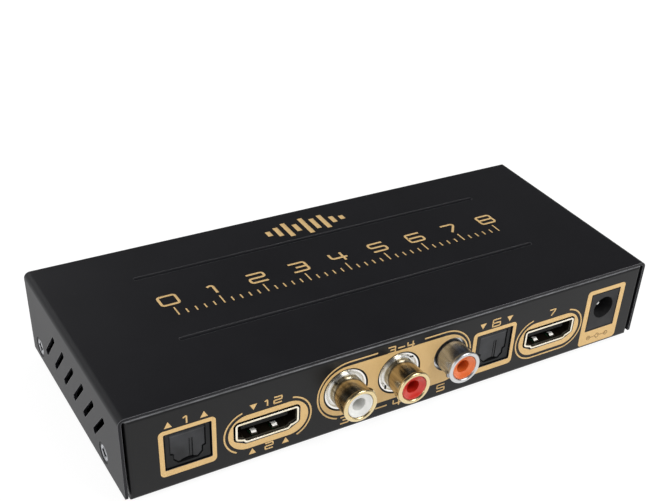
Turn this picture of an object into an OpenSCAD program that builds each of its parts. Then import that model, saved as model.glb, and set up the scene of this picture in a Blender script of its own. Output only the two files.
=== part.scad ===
// Audio extractor: a folded sheet cover on a folded tray, with one circuit board,
// its sockets on the port face (towards -Y) and its controls on the control face (towards +Y).
// Z = 0 is the plane that the feet stand on. Before placed(), pieces are drawn about the
// casing's own middle, with the underside of the casing at Z = 0.

/* [Casing] */
// Width of the casing along the port face
case_w = 138; // [137:0.5:150]
// Depth of the casing from the port face to the control face
case_d = 59.5; // [58:0.5:66]
// Height of the casing without its feet
case_h = 21.8; // [20.6:0.2:27]
// Thickness of the cover's and the tray's sheet
sheet_t = 0.7; // [0.6:0.05:0.9]
// Inside radius of the cover's bends
bend_r = 0.8; // [0.4:0.1:1.0]
// Inside radius of the tray's bends
tray_bend_r = 0.2; // [0.1:0.05:0.5]
// Distance of each end panel behind the cover's edge
panel_recess = 0; // [0:0.1:0.5]
// Distance of the cover's lower edges above the tray's underside
cover_lift = 1; // [0.5:0.1:1.5]
// Gap between the cover's side walls and the tray
side_gap = 0.5; // [0.3:0.05:0.7]
// Gap between the cover's top and the tray's lips
top_gap = 0.15; // [0.05:0.05:0.4]
// Length of the lip folded back at the top of each end panel
lip_l = 5; // [3:0.5:7]
// Length of the flange folded back at each side of an end panel
flange_l = 3.5; // [2.5:0.25:4.5]

/* [Vents] */
// Number of slanted slots in each side wall
vent_count = 6; // [3:1:6]
// Length of a slot, end to end
vent_l = 12.3; // [8:0.1:13]
// Width of a slot
vent_w = 1.5; // [1:0.1:2]
// Distance from slot to slot
vent_pitch = 6.26; // [5:0.02:6.4]
// Slope of a slot from the horizontal, in degrees
vent_angle = 48; // [35:1:70]
// Height of the slots' middle above the casing's underside
vent_z = 11; // [10:0.1:12]
// Distance of the row's middle from the casing's middle, towards the ports
vent_shift = 1.15; // [0:0.05:2]

/* [Grooves in the top] */
// Length of each of the two pressed grooves
groove_l = 95.5; // [60:0.5:110]
// Width of a groove
groove_w = 1.3; // [0.8:0.1:2]
// Depth of a groove
groove_depth = 0.3; // [0.15:0.05:0.4]
// Distance of the rear groove from the cover's rear edge
groove_inset = 13.3; // [8:0.1:16]
// Distance between the two grooves
groove_pitch = 26.3; // [20:0.1:32]

/* [Casing screws and feet] */
// Height of the casing screws above the casing's underside
screw_z = 4.6; // [4.2:0.1:5.2]
// Distance of the screws near the port face from the cover's edge
screw_front_inset = 11.65; // [9:0.05:13]
// Distance of the screws near the control face from the cover's edge
screw_back_inset = 5.65; // [5.5:0.05:7]
// Diameter of a casing screw's countersunk head
screw_head_d = 5; // [4.6:0.1:5.2]
// Diameter of a casing screw's thread
screw_thread_d = 3; // [2.5:0.1:3.2]
// Length of a casing screw over its head
screw_l = 4; // [3.5:0.1:4.3]
// Diameter of a foot
foot_d = 8; // [6:0.5:10]
// Height of a foot
foot_h = 1.5; // [1:0.1:3]
// Distance of a foot's middle from the casing's sides
foot_inset = 10; // [7:0.5:14]

/* [Circuit board] */
// Height of the board's upper face above the casing's underside
board_top = 5.35; // [5.1:0.05:5.6]
// Thickness of the board
board_t = 1.6; // [1.2:0.1:1.8]
// Gap between the board and the casing's outside at each side
board_side_gap = 5; // [4.8:0.1:6]
// Gap between the board and each end panel
board_end_gap = 0.5; // [0.3:0.05:0.7]
// Diameter of a standoff
standoff_d = 5; // [4.5:0.1:6]
// Diameter of a board screw's head
board_screw_head_d = 5; // [4.5:0.1:5.4]
// Diameter of a board screw's thread
board_screw_d = 2.5; // [2:0.1:3]

/* [Optical sockets] */
// Width of an optical socket
optical_w = 9.9; // [9.5:0.1:10.2]
// Height of an optical socket above the board
optical_h = 9; // [8.8:0.1:9.6]
// Length of an optical socket
optical_l = 13.6; // [13:0.1:15]
// Width of the mouth that the plug enters
mouth_w = 7.9; // [7.6:0.1:8.2]
// Width of the mouth below its shoulders
mouth_low_w = 6.5; // [6.2:0.1:6.8]
// Width of the mouth at its bottom
mouth_base_w = 4.4; // [4.2:0.1:4.8]
// Height of the sill under the mouth
mouth_sill = 0.65; // [0.6:0.05:0.9]
// Depth of the mouth
mouth_l = 8.8; // [8.4:0.1:9.4]
// Thickness of the shutter door
door_t = 0.8; // [0.6:0.05:1]

/* [Video sockets] */
// Outside width of the metal shell
video_w = 15; // [14.6:0.1:15.4]
// Outside height of the metal shell
video_h = 5.6; // [5.4:0.1:6]
// Outside width of the shell's flat bottom
video_base_w = 10.3; // [10:0.1:11]
// Width of the shell at the knees of its flanks
video_knee_w = 13.2; // [12.8:0.1:13.6]
// Height of the shell's upright sides
video_side_h = 3.75; // [3.6:0.05:3.9]
// Thickness of the shell
video_t = 0.45; // [0.3:0.05:0.5]
// Length of the shell
video_l = 12; // [11:0.1:13]
// Height of the shell's bottom above the board
video_lift = 0.45; // [0.3:0.05:0.6]
// Gap between the shell and the cut-out in the panel
video_gap = 0.4; // [0.25:0.05:0.5]
// Width of the tongue that carries the contacts
tongue_w = 11.1; // [10.8:0.1:11.6]
// Thickness of the tongue
tongue_t = 1; // [0.8:0.05:1.2]

/* [Phono jacks] */
// Distance from the left jack to the right jack
jack_pitch = 13.9; // [13.4:0.1:14.4]
// Height of the left and right jacks' axes above the board
jack_axis_h = 6.1; // [5.9:0.05:6.3]
// Height of the coaxial jack's axis above the board
coax_axis_h = 6.7; // [6.4:0.05:6.8]
// Diameter of the hole in the panel round the left and right jacks
jack_hole_d = 11.25; // [11:0.05:11.6]
// Diameter of the hole in the panel round the coaxial jack
coax_hole_d = 9; // [8.7:0.1:9.4]
// Outside diameter of a barrel
barrel_d = 7.9; // [7.8:0.05:8.1]
// Outside diameter of the rolled rim at the barrel's mouth
rim_d = 8.35; // [8.3:0.05:8.5]
// Thickness of the barrel's wall
barrel_wall = 0.4; // [0.3:0.05:0.5]
// Diameter of the barrel's flange
jack_flange_d = 10.5; // [10.2:0.1:10.7]
// Reach of the left and right barrels in front of the port panel
barrel_out = 6.75; // [6.2:0.05:8]
// Reach of the coaxial barrel in front of the port panel
coax_out = 6.2; // [5.8:0.05:6.8]
// Diameter of the plastic insert in a barrel
insert_d = 6.15; // [5.9:0.05:6.2]
// Diameter of the hole that takes a plug's pin
pin_hole_d = 3.3; // [3.2:0.05:3.4]
// Depth of a jack's housing
jack_body_l = 9; // [8.5:0.1:10]
// Width of housing on each side of a jack's axis
jack_body_half_w = 6.2; // [6:0.1:6.3]
// Height of a jack's housing
jack_body_h = 11; // [10.6:0.1:11.2]

/* [Power jack] */
// Width of the power jack's housing
power_w = 8.8; // [8.6:0.1:9.4]
// Height of the power jack's housing
power_h = 10.7; // [10.6:0.1:11]
// Length of the power jack's housing
power_l = 14.2; // [13.6:0.1:14.6]
// Diameter of the hole that takes the plug
power_hole_d = 6.05; // [6:0.05:6.3]
// Height of the hole's axis above the board
power_axis_h = 6.1; // [6.05:0.05:6.2]
// Depth of the hole
power_hole_l = 9.6; // [9:0.1:10.2]
// Diameter of the centre pin
power_pin_d = 2; // [1.9:0.05:2.1]

/* [Control face] */
// Height of the controls' axes above the board
control_axis_h = 4.25; // [4.1:0.05:4.6]
// Width of the infrared window
window_w = 8; // [7:0.1:8.4]
// Height of the infrared window
window_h = 4.6; // [4.2:0.1:5]
// Distance from status light to status light
status_light_pitch = 6; // [5:0.5:7]
// Number of status lights
status_light_count = 3; // [1:1:3]
// Diameter of a light's lens
light_d = 3; // [2.8:0.1:3.1]
// Diameter of a button's cap
button_d = 5; // [4.6:0.1:5.4]
// Reach of a button in front of the control panel
button_out = 1; // [0.6:0.1:1.3]
// Travel of a button
button_travel = 0.35; // [0.2:0.05:0.5]
// Travel of the slide to each side of its middle
slide_travel = 2; // [1.5:0.1:2.2]
// Width of the slide's knob
slide_knob_w = 2.2; // [2:0.1:2.6]
// Reach of the slide's knob in front of the control panel
slide_out = 1.6; // [1.2:0.1:2.5]

/* [Parts on the board] */
// Side of the video chip
video_chip_w = 14; // [12:0.5:16]
// Side of the audio and control chips
small_chip_w = 7; // [6:0.5:8]
// Diameter of a capacitor can
capacitor_d = 6.3; // [5:0.1:6.5]
// Height of a capacitor can
capacitor_h = 7.5; // [6:0.1:8]
// Side of the power coil
coil_w = 7; // [6:0.5:8]
// Length of a clock crystal's can
crystal_l = 11; // [9:0.5:12]

/* [Hidden] */
$fn = 48;

// Overrun of every cutting shape
cut = 0.5;
// Gap of a piece that sits snugly in another of the same body
snug = 0.03;
// Radial clearance of a pin that turns or slides in its hole
run_gap = 0.06;
// Clearance round a socket in its cut-out, and round a lead in its slot
port_gap = 0.15;

// Colours
case_black = [0.12, 0.12, 0.13];
panel_black = [0.16, 0.16, 0.17];
part_black = [0.09, 0.09, 0.1];
board_green = [0.05, 0.25, 0.13];
nickel = [0.78, 0.78, 0.76];
brass_gold = [0.86, 0.76, 0.55];
shell_cream = [0.88, 0.84, 0.74];
signal_white = [0.92, 0.92, 0.9];
signal_red = [0.78, 0.12, 0.1];
signal_orange = [0.88, 0.38, 0.16];

// Casing
bend_out = bend_r + sheet_t;
tray_bend_out = tray_bend_r + sheet_t;
tray_w = case_w - 2*(sheet_t + side_gap);
tray_d = case_d - 2*panel_recess;
tray_h = case_h - sheet_t - top_gap;
cover_h = case_h - cover_lift;
panel_front = tray_d/2;
panel_back = tray_d/2 - sheet_t;
bend_relief = 0.4;
groove_r = groove_w*groove_w/(8*groove_depth) + groove_depth/2;

// Casing screws and the tabs that hold them
tab_gap = 0.05;
tab_x = case_w/2 - sheet_t - tab_gap;
tab_w = 6.4;
tab_root = tray_w/2 - bend_out;
tab_h = screw_z + tab_w/2;
tab_boss_wall = 0.8;
tab_boss_d = screw_thread_d + 2*tab_boss_wall;
tab_boss_l = 1.1;
screw_head_gap = 0.15;
screw_sink = 0.15;
screw_recess_w = 0.7;
screw_recess_l = 2.8;
screw_recess_depth = 0.7;
screw_places = [-case_d/2 + screw_front_inset, case_d/2 - screw_back_inset];

// Board
board_w = case_w - 2*board_side_gap;
board_d = 2*(panel_back - board_end_gap);
board_screw_side = 4;
board_screw_front = 18.4;
board_screw_back = 4.9;
board_screw_head_h = 1.7;
board_screw_top_d = board_screw_head_d - 2*board_screw_head_h/3;
standoff_h = board_top - board_t - sheet_t;
lead_drop = 0.7;

// Optical sockets, from the front of the socket and from the board
optical_gap = 0.3;
optical_recess = 0.3;
mouth_roof = 0.35;
mouth_chamfer_h = 1.1;
mouth_low_h = 2.4;
mouth_shoulder_h = 0.3;
mouth_top = optical_h - mouth_roof;
door_recess = 0.2;
door_side_gap = 0.12;
door_knuckle_r = 0.5;
door_pin_r = 0.45;
door_pin_l = 0.6;
hinge_y = door_recess + door_t/2;
hinge_z = mouth_top - door_knuckle_r - 0.15*door_t;
door_low_gap = 0.1;
door_arch_w = 4;
door_arch_h = 0.6;
door_arch_r = (door_arch_w*door_arch_w/4 + door_arch_h*door_arch_h)/(2*door_arch_h);
rib_h = 5.5;
rib_depth = 0.16;
thin_rib_x = 0.4;
thin_rib_w = 0.12;
deep_rib_x = 1;
deep_rib_w = 0.22;
lens_rise = 4.1;
lens_z = mouth_sill + lens_rise;
lens_r = 1.05;
emitter_w = 5.8;
emitter_l = 2.2;
emitter_leg_w = 0.5;
emitter_leg_pitch = 2;

// Video sockets
video_proud = 0.2;
shell_r = 0.35;
shell_out_r = shell_r + video_t;
knee_drop = 0.35;
knee_step = 0.45;
finger_w = 1.5;
finger_l = 5;
finger_start = 1;
finger_t = 0.25;
finger_rise = 0.6;
finger_slot_gap = 0.25;
top_finger_x = 3.4;
low_finger_x = 2.5;
leg_w = 1.6;
leg_y = [2.6, 9];
core_l = 3.4;
tongue_recess = 1.6;
tongue_height = 2.7;
contact_w = 0.3;
contact_t = 0.12;
contact_pitch = 1;
tail_w = 0.24;

// Phono jacks, measured outwards from the housing's front
jack_front = panel_back - port_gap;
jack_flange_t = barrel_wall;
jack_seat = jack_front - jack_flange_t;
jack_reach = panel_front + barrel_out - jack_seat;
coax_reach = panel_front + coax_out - jack_seat;
dish_h = panel_front - jack_seat - 0.25*barrel_wall;
rim_r = 0.52;
rim_l = 2*rim_r;
barrel_bore_r = barrel_d/2 - barrel_wall;
notch_w = 0.7;
notch_l = 0.8;
lance_l = 1.9;
lance_w = 1.3;
lance_rise = 0.4;
ground_leg_w = 2.4;
insert_recess = 0.35;
insert_tail = 2.5;
insert_collar_l = 1;
funnel_rim = 0.25;
funnel_l = 1;
clip_r = 1.8;
clip_wall = 0.35;
clip_l = 5.8;
clip_slot_w = 0.5;
tail_t = 0.4;
tail_strip_w = 1.6;

// Power jack
power_gap = 0.25;
power_recess = 0.05;
power_nose_l = 3.4;
power_pin_recess = 1.8;
power_rivet_l = 0.6;
power_rivet_d = 3;
power_pin_root_d = 2.6;
power_leaf_t = 0.3;
power_leaf_w = 2.2;
power_leaf_start = 3;
power_leaf_in = 0.35;
power_tag_w = 2.2;

// Controls
control_z = board_top + control_axis_h;
window_r = 0.8;
window_proud = 0.2;
window_lip = 1;
window_lip_t = 0.7;
receiver_w = 5.2;
receiver_h = 6;
receiver_l = 3.2;
receiver_dome_r = 1.9;
light_proud = 0.5;
light_collar_d = 3.8;
light_collar_l = 1;
light_body_l = 3.2;
light_lead_w = 0.5;
light_lead_pitch = 1.27;
light_lead_l = 2;
button_hole_gap = 0.2;
button_collar_rim = 0.8;
button_collar_d = button_d + 2*button_collar_rim;
button_collar_l = 0.8;
button_collar_gap = 0.5;
plunger_d = 3;
plunger_l = 2.9;
plunger_bore_l = 2.4;
switch_gap = 1.2;
switch_w = 6;
switch_h = 7.2;
switch_l = 3.6;
slide_slot_gap = 0.25;
slide_knob_h = 2.2;
slide_base_w = 5;
slide_base_h = 3.6;
slide_base_l = 1.8;
slide_wall = 0.6;
slide_housing_gap = 0.25;
slide_play = 0.12;
slide_ridge_w = 0.3;

// Parts on the board
chip_t = 1.4;
chip_lead_t = 0.2;
chip_lead_pitch = 0.8;
chip_lead_out = 0.9;
chip_lift = 0.1;
regulator_w = 6.5;
regulator_l = 3.5;
regulator_t = 1.6;
regulator_tab_w = 3;
regulator_tab_l = 1.7;
regulator_pitch = 7.7;
capacitor_base = 0.6;
coil_h = 3.8;
coil_chamfer = 1.4;
crystal_w = 4.6;
crystal_h = 3.5;

// Places on the board, as shares of its width and depth from its middle
video_chip_shares = [-0.15, 0.06];
audio_chip_shares = [0.1, -0.04];
control_chip_shares = [-0.33, 0.12];
regulator_shares = [0.3, -0.08];
capacitor_shares = [[0.19, 0.14], [0.26, 0.14], [0.2, -0.1], [-0.42, -0.08]];
coil_shares = [0.36, 0.14];
crystal_shares = [[0.01, 0.12], [-0.28, -0.1]];

// Sockets in a row along the board: their widths, and the free width that is left of each
// of them, as shares of all the free width
socket_widths = [
  optical_w, video_w, jack_pitch + 2*jack_body_half_w, 2*jack_body_half_w,
  optical_w, video_w, power_w
];
socket_gap_shares = [0.1384, 0.1808, 0.1792, 0.0505, 0.0521, 0.1531, 0.171];
socket_free_w = board_w - total(socket_widths, len(socket_widths) - 1);
optical_out_x = socket_x(0);
video_out_x = socket_x(1);
left_jack_x = socket_x(2) - jack_pitch/2;
right_jack_x = socket_x(2) + jack_pitch/2;
coax_jack_x = socket_x(3);
optical_in_x = socket_x(4);
video_in_x = socket_x(5);
power_jack_x = socket_x(6);

// Places along the control panel, as shares of the casing's width from its middle
window_share = 0.3623;
power_light_share = 0.2754;
status_light_share = 0.2174;
source_button_share = 0.0435;
mode_button_share = -0.058;
slide_switch_share = -0.2174;
window_x = window_share*case_w;
power_light_x = power_light_share*case_w;
status_light_x = status_light_share*case_w;
source_button_x = source_button_share*case_w;
mode_button_x = mode_button_share*case_w;
slide_switch_x = slide_switch_share*case_w;

// Sum of a list's values up to the one at place i
function total(list, i) = i < 0 ? 0 : list[i] + total(list, i - 1);

// Middle of the socket at place i of the row
function socket_x(i) = -board_w/2 + total(socket_widths, i) - socket_widths[i]/2
  + socket_free_w*total(socket_gap_shares, i);

// Middle of the whole object along Y, which placed() moves to zero
front_y = -(panel_front + barrel_out);
back_y = panel_front + slide_out;
middle_y = (front_y + back_y)/2;

// Moves a piece from the casing's own middle to the object's origin
module placed() {
  translate([0, -middle_y, foot_h]) children();
}

// Extrudes an outline drawn in Y and Z along X, about X = 0
module along_x(l) {
  rotate([90, 0, 90]) linear_extrude(height = l, center = true) children();
}

// Extrudes an outline drawn in X and Z along Y, from Y = 0
module along_y(l) {
  translate([0, l, 0]) rotate([90, 0, 0]) linear_extrude(height = l) children();
}

// A rod along Y, from Y = 0
module rod_y(r, l) {
  rotate([-90, 0, 0]) cylinder(h = l, r = r);
}

// A turned piece whose profile runs outwards, towards -Y
module turned_out() {
  rotate([90, 0, 0]) rotate_extrude() children();
}

// A rectangle that stands on the axis, with its two upper corners rounded
module round_top(w, h, r) {
  translate([-w/2, 0]) square([w, h - r]);
  translate([-w/2 + r, 0]) square([w - 2*r, h]);
  for (s = [-1, 1]) translate([s*(w/2 - r), h - r]) circle(r);
}

// A rectangle about the origin with four rounded corners
module round_rect(w, h, r) {
  square([w - 2*r, h], center = true);
  square([w, h - 2*r], center = true);
  for (s = [-1, 1], t = [-1, 1]) translate([s*(w/2 - r), t*(h/2 - r)]) circle(r);
}

// Outward unit normal of the edge from a to b of an outline that runs anticlockwise
function edge_normal(a, b) = let (d = b - a) [d[1], -d[0]]/norm(d);

// An outline drawn at a distance r outside the given corner points, with round corners
module round_polygon(points, r) {
  n = len(points);
  polygon([
    for (i = [0:n - 1])
      for (j = [n - 1, 0])
        let (a = points[(i + j) % n], b = points[(i + j + 1) % n])
          points[i] + r*edge_normal(a, b)
  ]);
  for (p = points) translate(p) circle(r);
}

// A slot with round ends, long in Z, through a wall that faces X
module slot_through(l, w, t) {
  cube([t, w, l - w], center = true);
  for (s = [-1, 1]) translate([0, 0, s*(l - w)/2]) rotate([0, 90, 0])
    cylinder(h = t, d = w, center = true);
}

// Puts its children at each casing screw, with Z pointing into the casing
module at_casing_screws() {
  for (s = [-1, 1], y = screw_places) translate([s*case_w/2, y, screw_z])
    rotate([0, -90*s, 0]) children();
}

// The hole that a casing screw leaves in the cover and the tab
module screw_seat() {
  head_r = screw_head_d/2 + screw_head_gap;
  thread_r = screw_thread_d/2 + run_gap;
  translate([0, 0, -cut]) cylinder(h = cut, r = head_r);
  cylinder(h = head_r - thread_r, r1 = head_r, r2 = thread_r);
  cylinder(h = screw_l + cut, r = thread_r);
}

module cross_recess(l, w, depth) {
  for (a = [0, 90]) rotate(a) translate([-l/2, -w/2, -cut]) cube([l, w, depth + cut]);
}

module top_cover() {
  color(case_black) placed() difference() {
    translate([0, -case_d/2, cover_lift]) along_y(case_d) difference() {
      round_top(case_w, cover_h, bend_out);
      translate([0, -cut]) round_top(case_w - 2*sheet_t, cover_h - sheet_t + cut, bend_r);
    }
    for (s = [-1, 1], i = [0:vent_count - 1])
      translate([s*(case_w - sheet_t)/2, (i - (vent_count - 1)/2)*vent_pitch - vent_shift, vent_z])
        rotate([90 - vent_angle, 0, 0]) slot_through(vent_l, vent_w, sheet_t + 2*cut);
    at_casing_screws() screw_seat();
    for (i = [0, 1])
      translate([0, case_d/2 - groove_inset - i*groove_pitch, case_h + groove_r - groove_depth])
        groove();
  }
}

// A pressed groove along X, cut by a rod with ball ends
module groove() {
  run = groove_l - groove_w;
  rotate([0, 90, 0]) cylinder(h = run, r = groove_r, center = true);
  for (s = [-1, 1]) translate([s*run/2, 0, 0]) sphere(r = groove_r);
}

// Floor, end panels and their lips, as an outline in Y and Z
module tray_section() {
  difference() {
    translate([0, tray_h/2]) round_rect(tray_d, tray_h, tray_bend_out);
    translate([0, tray_h/2]) round_rect(tray_d - 2*sheet_t, tray_h - 2*sheet_t, tray_bend_r);
    translate([-tray_d/2 + lip_l, tray_h - sheet_t - cut])
      square([tray_d - 2*lip_l, sheet_t + 2*cut]);
  }
}

// One flange at the side of an end panel: s is the side, e the end, z0 and z1 its reach
module side_flange(s, e, z0, z1) {
  translate([0, 0, z0]) linear_extrude(height = z1 - z0) intersection() {
    difference() {
      round_rect(tray_w, tray_d, tray_bend_out);
      round_rect(tray_w - 2*sheet_t, tray_d - 2*sheet_t, tray_bend_r);
    }
    scale([s, e]) translate([tray_w/2 - tray_bend_out, tray_d/2 - flange_l])
      square([tray_bend_out + cut, flange_l + cut]);
  }
}

// One upright tab at the side of the floor, with the collar that the screw bites into
module screw_tab(y) {
  translate([0, y - tab_w/2, 0]) along_y(tab_w) intersection() {
    difference() {
      translate([0, case_h/2]) round_rect(2*tab_x, case_h, bend_out);
      translate([0, case_h/2]) round_rect(2*(tab_x - sheet_t), case_h - 2*sheet_t, bend_r);
    }
    for (s = [-1, 1]) scale([s, 1]) translate([tab_root - sheet_t, 0])
      square([tab_x - tab_root + 2*sheet_t, tab_h]);
  }
  for (s = [-1, 1]) translate([s*(tab_x - sheet_t/2), y, screw_z]) rotate([0, -90*s, 0])
    cylinder(h = sheet_t/2 + tab_boss_l, d = tab_boss_d);
}

module port_openings() {
  translate([0, -panel_front - cut, 0]) {
    for (x = [optical_out_x, optical_in_x]) translate([x, 0, board_top]) along_y(sheet_t + 2*cut)
      translate([0, optical_h/2])
        round_rect(optical_w + 2*optical_gap, optical_h + 2*optical_gap, optical_gap);
    for (x = [video_out_x, video_in_x]) translate([x, 0, board_top]) along_y(sheet_t + 2*cut)
      video_outline(video_gap + video_t);
    for (x = [left_jack_x, right_jack_x]) translate([x, 0, board_top + jack_axis_h])
      rod_y(jack_hole_d/2, sheet_t + 2*cut);
    translate([coax_jack_x, 0, board_top + coax_axis_h]) rod_y(coax_hole_d/2, sheet_t + 2*cut);
    translate([power_jack_x, 0, board_top]) along_y(sheet_t + 2*cut)
      translate([0, power_h/2]) round_rect(power_w + 2*power_gap, power_h + 2*power_gap, power_gap);
  }
}

module control_openings() {
  translate([0, panel_back - cut, control_z]) {
    translate([window_x, 0, 0]) along_y(sheet_t + 2*cut)
      round_rect(window_w + 2*port_gap, window_h + 2*port_gap, window_r + port_gap);
    for (x = light_places()) translate([x, 0, 0]) rod_y(light_d/2 + port_gap, sheet_t + 2*cut);
    for (x = [source_button_x, mode_button_x]) translate([x, 0, 0])
      rod_y(button_d/2 + button_hole_gap, sheet_t + 2*cut);
    translate([slide_switch_x, 0, 0]) along_y(sheet_t + 2*cut) square([
      slide_knob_w + 2*slide_travel + 2*slide_slot_gap, slide_knob_h + 2*slide_slot_gap
    ], center = true);
  }
}

module base_tray() {
  color(panel_black) placed() difference() {
    union() {
      difference() {
        intersection() {
          along_x(tray_w) tray_section();
          linear_extrude(height = tray_h) round_rect(tray_w, tray_d, tray_bend_out);
        }
        for (s = [-1, 1], y = screw_places)
          translate([s*(tab_root + bend_out/2 + cut/2), y, sheet_t/2])
            cube([bend_out + cut, tab_w + 2*bend_relief, sheet_t + 2*cut], center = true);
      }
      for (s = [-1, 1]) {
        side_flange(s, -1, tray_bend_out, tray_h - tray_bend_out);
        side_flange(s, 1, tab_h + bend_relief, tray_h - tray_bend_out);
      }
      for (y = screw_places) screw_tab(y);
    }
    at_casing_screws() screw_seat();
    port_openings();
    control_openings();
  }
}

module cover_screws() {
  color(nickel) placed() at_casing_screws() translate([0, 0, screw_sink]) difference() {
    union() {
      cylinder(h = (screw_head_d - screw_thread_d)/2, d1 = screw_head_d, d2 = screw_thread_d);
      cylinder(h = screw_l, d = screw_thread_d);
    }
    cross_recess(screw_recess_l, screw_recess_w, screw_recess_depth);
  }
}

module rubber_feet() {
  color(part_black) placed()
    for (s = [-1, 1], t = [-1, 1])
      translate([s*(case_w/2 - foot_inset), t*(case_d/2 - foot_inset), -foot_h]) {
        cylinder(h = foot_h/2, d1 = foot_d - foot_h/2, d2 = foot_d);
        translate([0, 0, foot_h/2]) cylinder(h = foot_h/2, d = foot_d);
      }
}

// Board
board_screw_places = [
  for (s = [-1, 1], y = [-board_d/2 + board_screw_front, board_d/2 - board_screw_back])
    [s*(board_w/2 - board_screw_side), y]
];

module at_board_screws() {
  for (p = board_screw_places) translate([p[0], p[1], 0]) children();
}

// A slot in the board for a lead of width w and thickness t, both in the board's plane
module lead_slot(x, y, w, t) {
  translate([x, y, board_top - board_t/2])
    cube([w + 2*port_gap, t + 2*port_gap, board_t + 2*cut], center = true);
}

module circuit_board() {
  color(board_green) placed() difference() {
    translate([-board_w/2, -board_d/2, board_top - board_t]) cube([board_w, board_d, board_t]);
    at_board_screws() translate([0, 0, board_top - board_t - cut])
      cylinder(h = board_t + 2*cut, r = board_screw_d/2 + port_gap);
    for (x = [video_out_x, video_in_x], s = [-1, 1], y = leg_y)
      lead_slot(x + s*(video_w - video_t)/2, -panel_front - video_proud + y, video_t, leg_w);
    for (x = [left_jack_x, right_jack_x, coax_jack_x]) {
      lead_slot(x, -jack_front + jack_flange_t/2, ground_leg_w, jack_flange_t);
      lead_slot(x, -jack_seat + jack_body_l + tail_t/2, tail_strip_w, tail_t);
    }
    lead_slot(power_jack_x, -panel_front + power_recess + power_l + tail_t/2, power_tag_w, tail_t);
    lead_slot(power_jack_x - power_w/2 - tail_t/2,
      -panel_front + power_recess + power_hole_l, tail_t, power_tag_w);
  }
}

module board_standoffs() {
  color(nickel) placed() at_board_screws() translate([0, 0, sheet_t]) difference() {
    cylinder(h = standoff_h, d = standoff_d);
    translate([0, 0, -cut]) cylinder(h = standoff_h + 2*cut, r = board_screw_d/2 + run_gap);
  }
}

module board_screws() {
  color(nickel) placed() at_board_screws() translate([0, 0, board_top]) difference() {
    union() {
      cylinder(h = board_screw_head_h, d1 = board_screw_head_d, d2 = board_screw_top_d);
      translate([0, 0, -board_t - standoff_h]) cylinder(h = board_t + standoff_h, d = board_screw_d);
    }
    translate([0, 0, board_screw_head_h]) mirror([0, 0, 1])
      cross_recess(screw_recess_l, screw_recess_w, screw_recess_depth);
  }
}

// Optical sockets. Their children's origin is the middle of the front, at the board.
module at_optical(x) {
  placed() translate([x, -panel_front + optical_recess, board_top]) children();
}

// The mouth's outline, drawn in by a gap at its sides and its bottom
module mouth_outline(side, low) {
  w = mouth_w/2 - side;
  w1 = mouth_low_w/2 - side;
  w0 = mouth_base_w/2 - side;
  z0 = mouth_sill + low;
  z1 = z0 + mouth_chamfer_h;
  z2 = z0 + mouth_low_h;
  z3 = z2 + mouth_shoulder_h;
  polygon([
    [-w, mouth_top], [-w, z3], [-w1, z2], [-w1, z1], [-w0, z0],
    [w0, z0], [w1, z1], [w1, z2], [w, z3], [w, mouth_top]
  ]);
}

module optical_housing() {
  difference() {
    translate([-optical_w/2, 0, 0]) cube([optical_w, optical_l, optical_h]);
    translate([0, -cut, 0]) along_y(mouth_l + cut) mouth_outline(0, 0);
    translate([0, mouth_l - cut, lens_z]) rod_y(lens_r + port_gap, optical_l - mouth_l);
    translate([-emitter_w/2 - snug, optical_l - emitter_l, lens_z - emitter_w/2 - snug])
      cube([emitter_w + 2*snug, emitter_l + cut, emitter_w + 2*snug]);
    translate([0, hinge_y, hinge_z]) rotate([0, 90, 0])
      cylinder(h = mouth_w + 2*(door_pin_l + run_gap), r = door_pin_r + run_gap, center = true);
    for (s = [-1, 1]) translate([s*optical_w/2, mouth_l/2, optical_h])
      cube([2*mouth_roof, mouth_l/2, 2*mouth_roof], center = true);
  }
}

module optical_door() {
  difference() {
    union() {
      translate([0, door_recess, 0]) along_y(door_t) intersection() {
        mouth_outline(door_side_gap, door_low_gap);
        translate([-mouth_w/2, 0]) square([mouth_w, hinge_z]);
      }
      translate([0, hinge_y, hinge_z]) rotate([0, 90, 0]) {
        cylinder(h = mouth_w - 2*door_side_gap, r = door_knuckle_r, center = true);
        cylinder(h = mouth_w + 2*door_pin_l, r = door_pin_r, center = true);
      }
    }
    translate([thin_rib_x - thin_rib_w/2, door_recess - cut, mouth_sill])
      cube([thin_rib_w, cut + rib_depth, rib_h]);
    translate([deep_rib_x - deep_rib_w/2, door_recess - cut, mouth_sill])
      cube([deep_rib_w, cut + rib_depth, rib_h]);
    translate([0, door_recess - cut, mouth_sill + door_low_gap + door_arch_h - door_arch_r])
      rod_y(door_arch_r, door_t + 2*cut);
  }
}

module optical_emitter() {
  translate([-emitter_w/2, optical_l - emitter_l + snug, lens_z - emitter_w/2])
    cube([emitter_w, emitter_l, emitter_w]);
  translate([0, optical_l - emitter_l - lens_r/2, lens_z]) rod_y(lens_r, lens_r);
  for (i = [-1, 0, 1])
    translate([i*emitter_leg_pitch - emitter_leg_w/2, optical_l + snug, 0])
      cube([emitter_leg_w, emitter_leg_w, lens_z]);
}

module optical_out_housing() { color(part_black) at_optical(optical_out_x) optical_housing(); }
module optical_in_housing() { color(part_black) at_optical(optical_in_x) optical_housing(); }
module optical_out_door() { color(part_black) at_optical(optical_out_x) optical_door(); }
module optical_in_door() { color(part_black) at_optical(optical_in_x) optical_door(); }
module optical_out_emitter() { color(signal_red) at_optical(optical_out_x) optical_emitter(); }
module optical_in_receiver() { color(part_black) at_optical(optical_in_x) optical_emitter(); }

// Video sockets. Their children's origin is the middle of the shell's front, at the board.
module at_video(x) {
  placed() translate([x, -panel_front - video_proud, board_top]) children();
}

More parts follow.
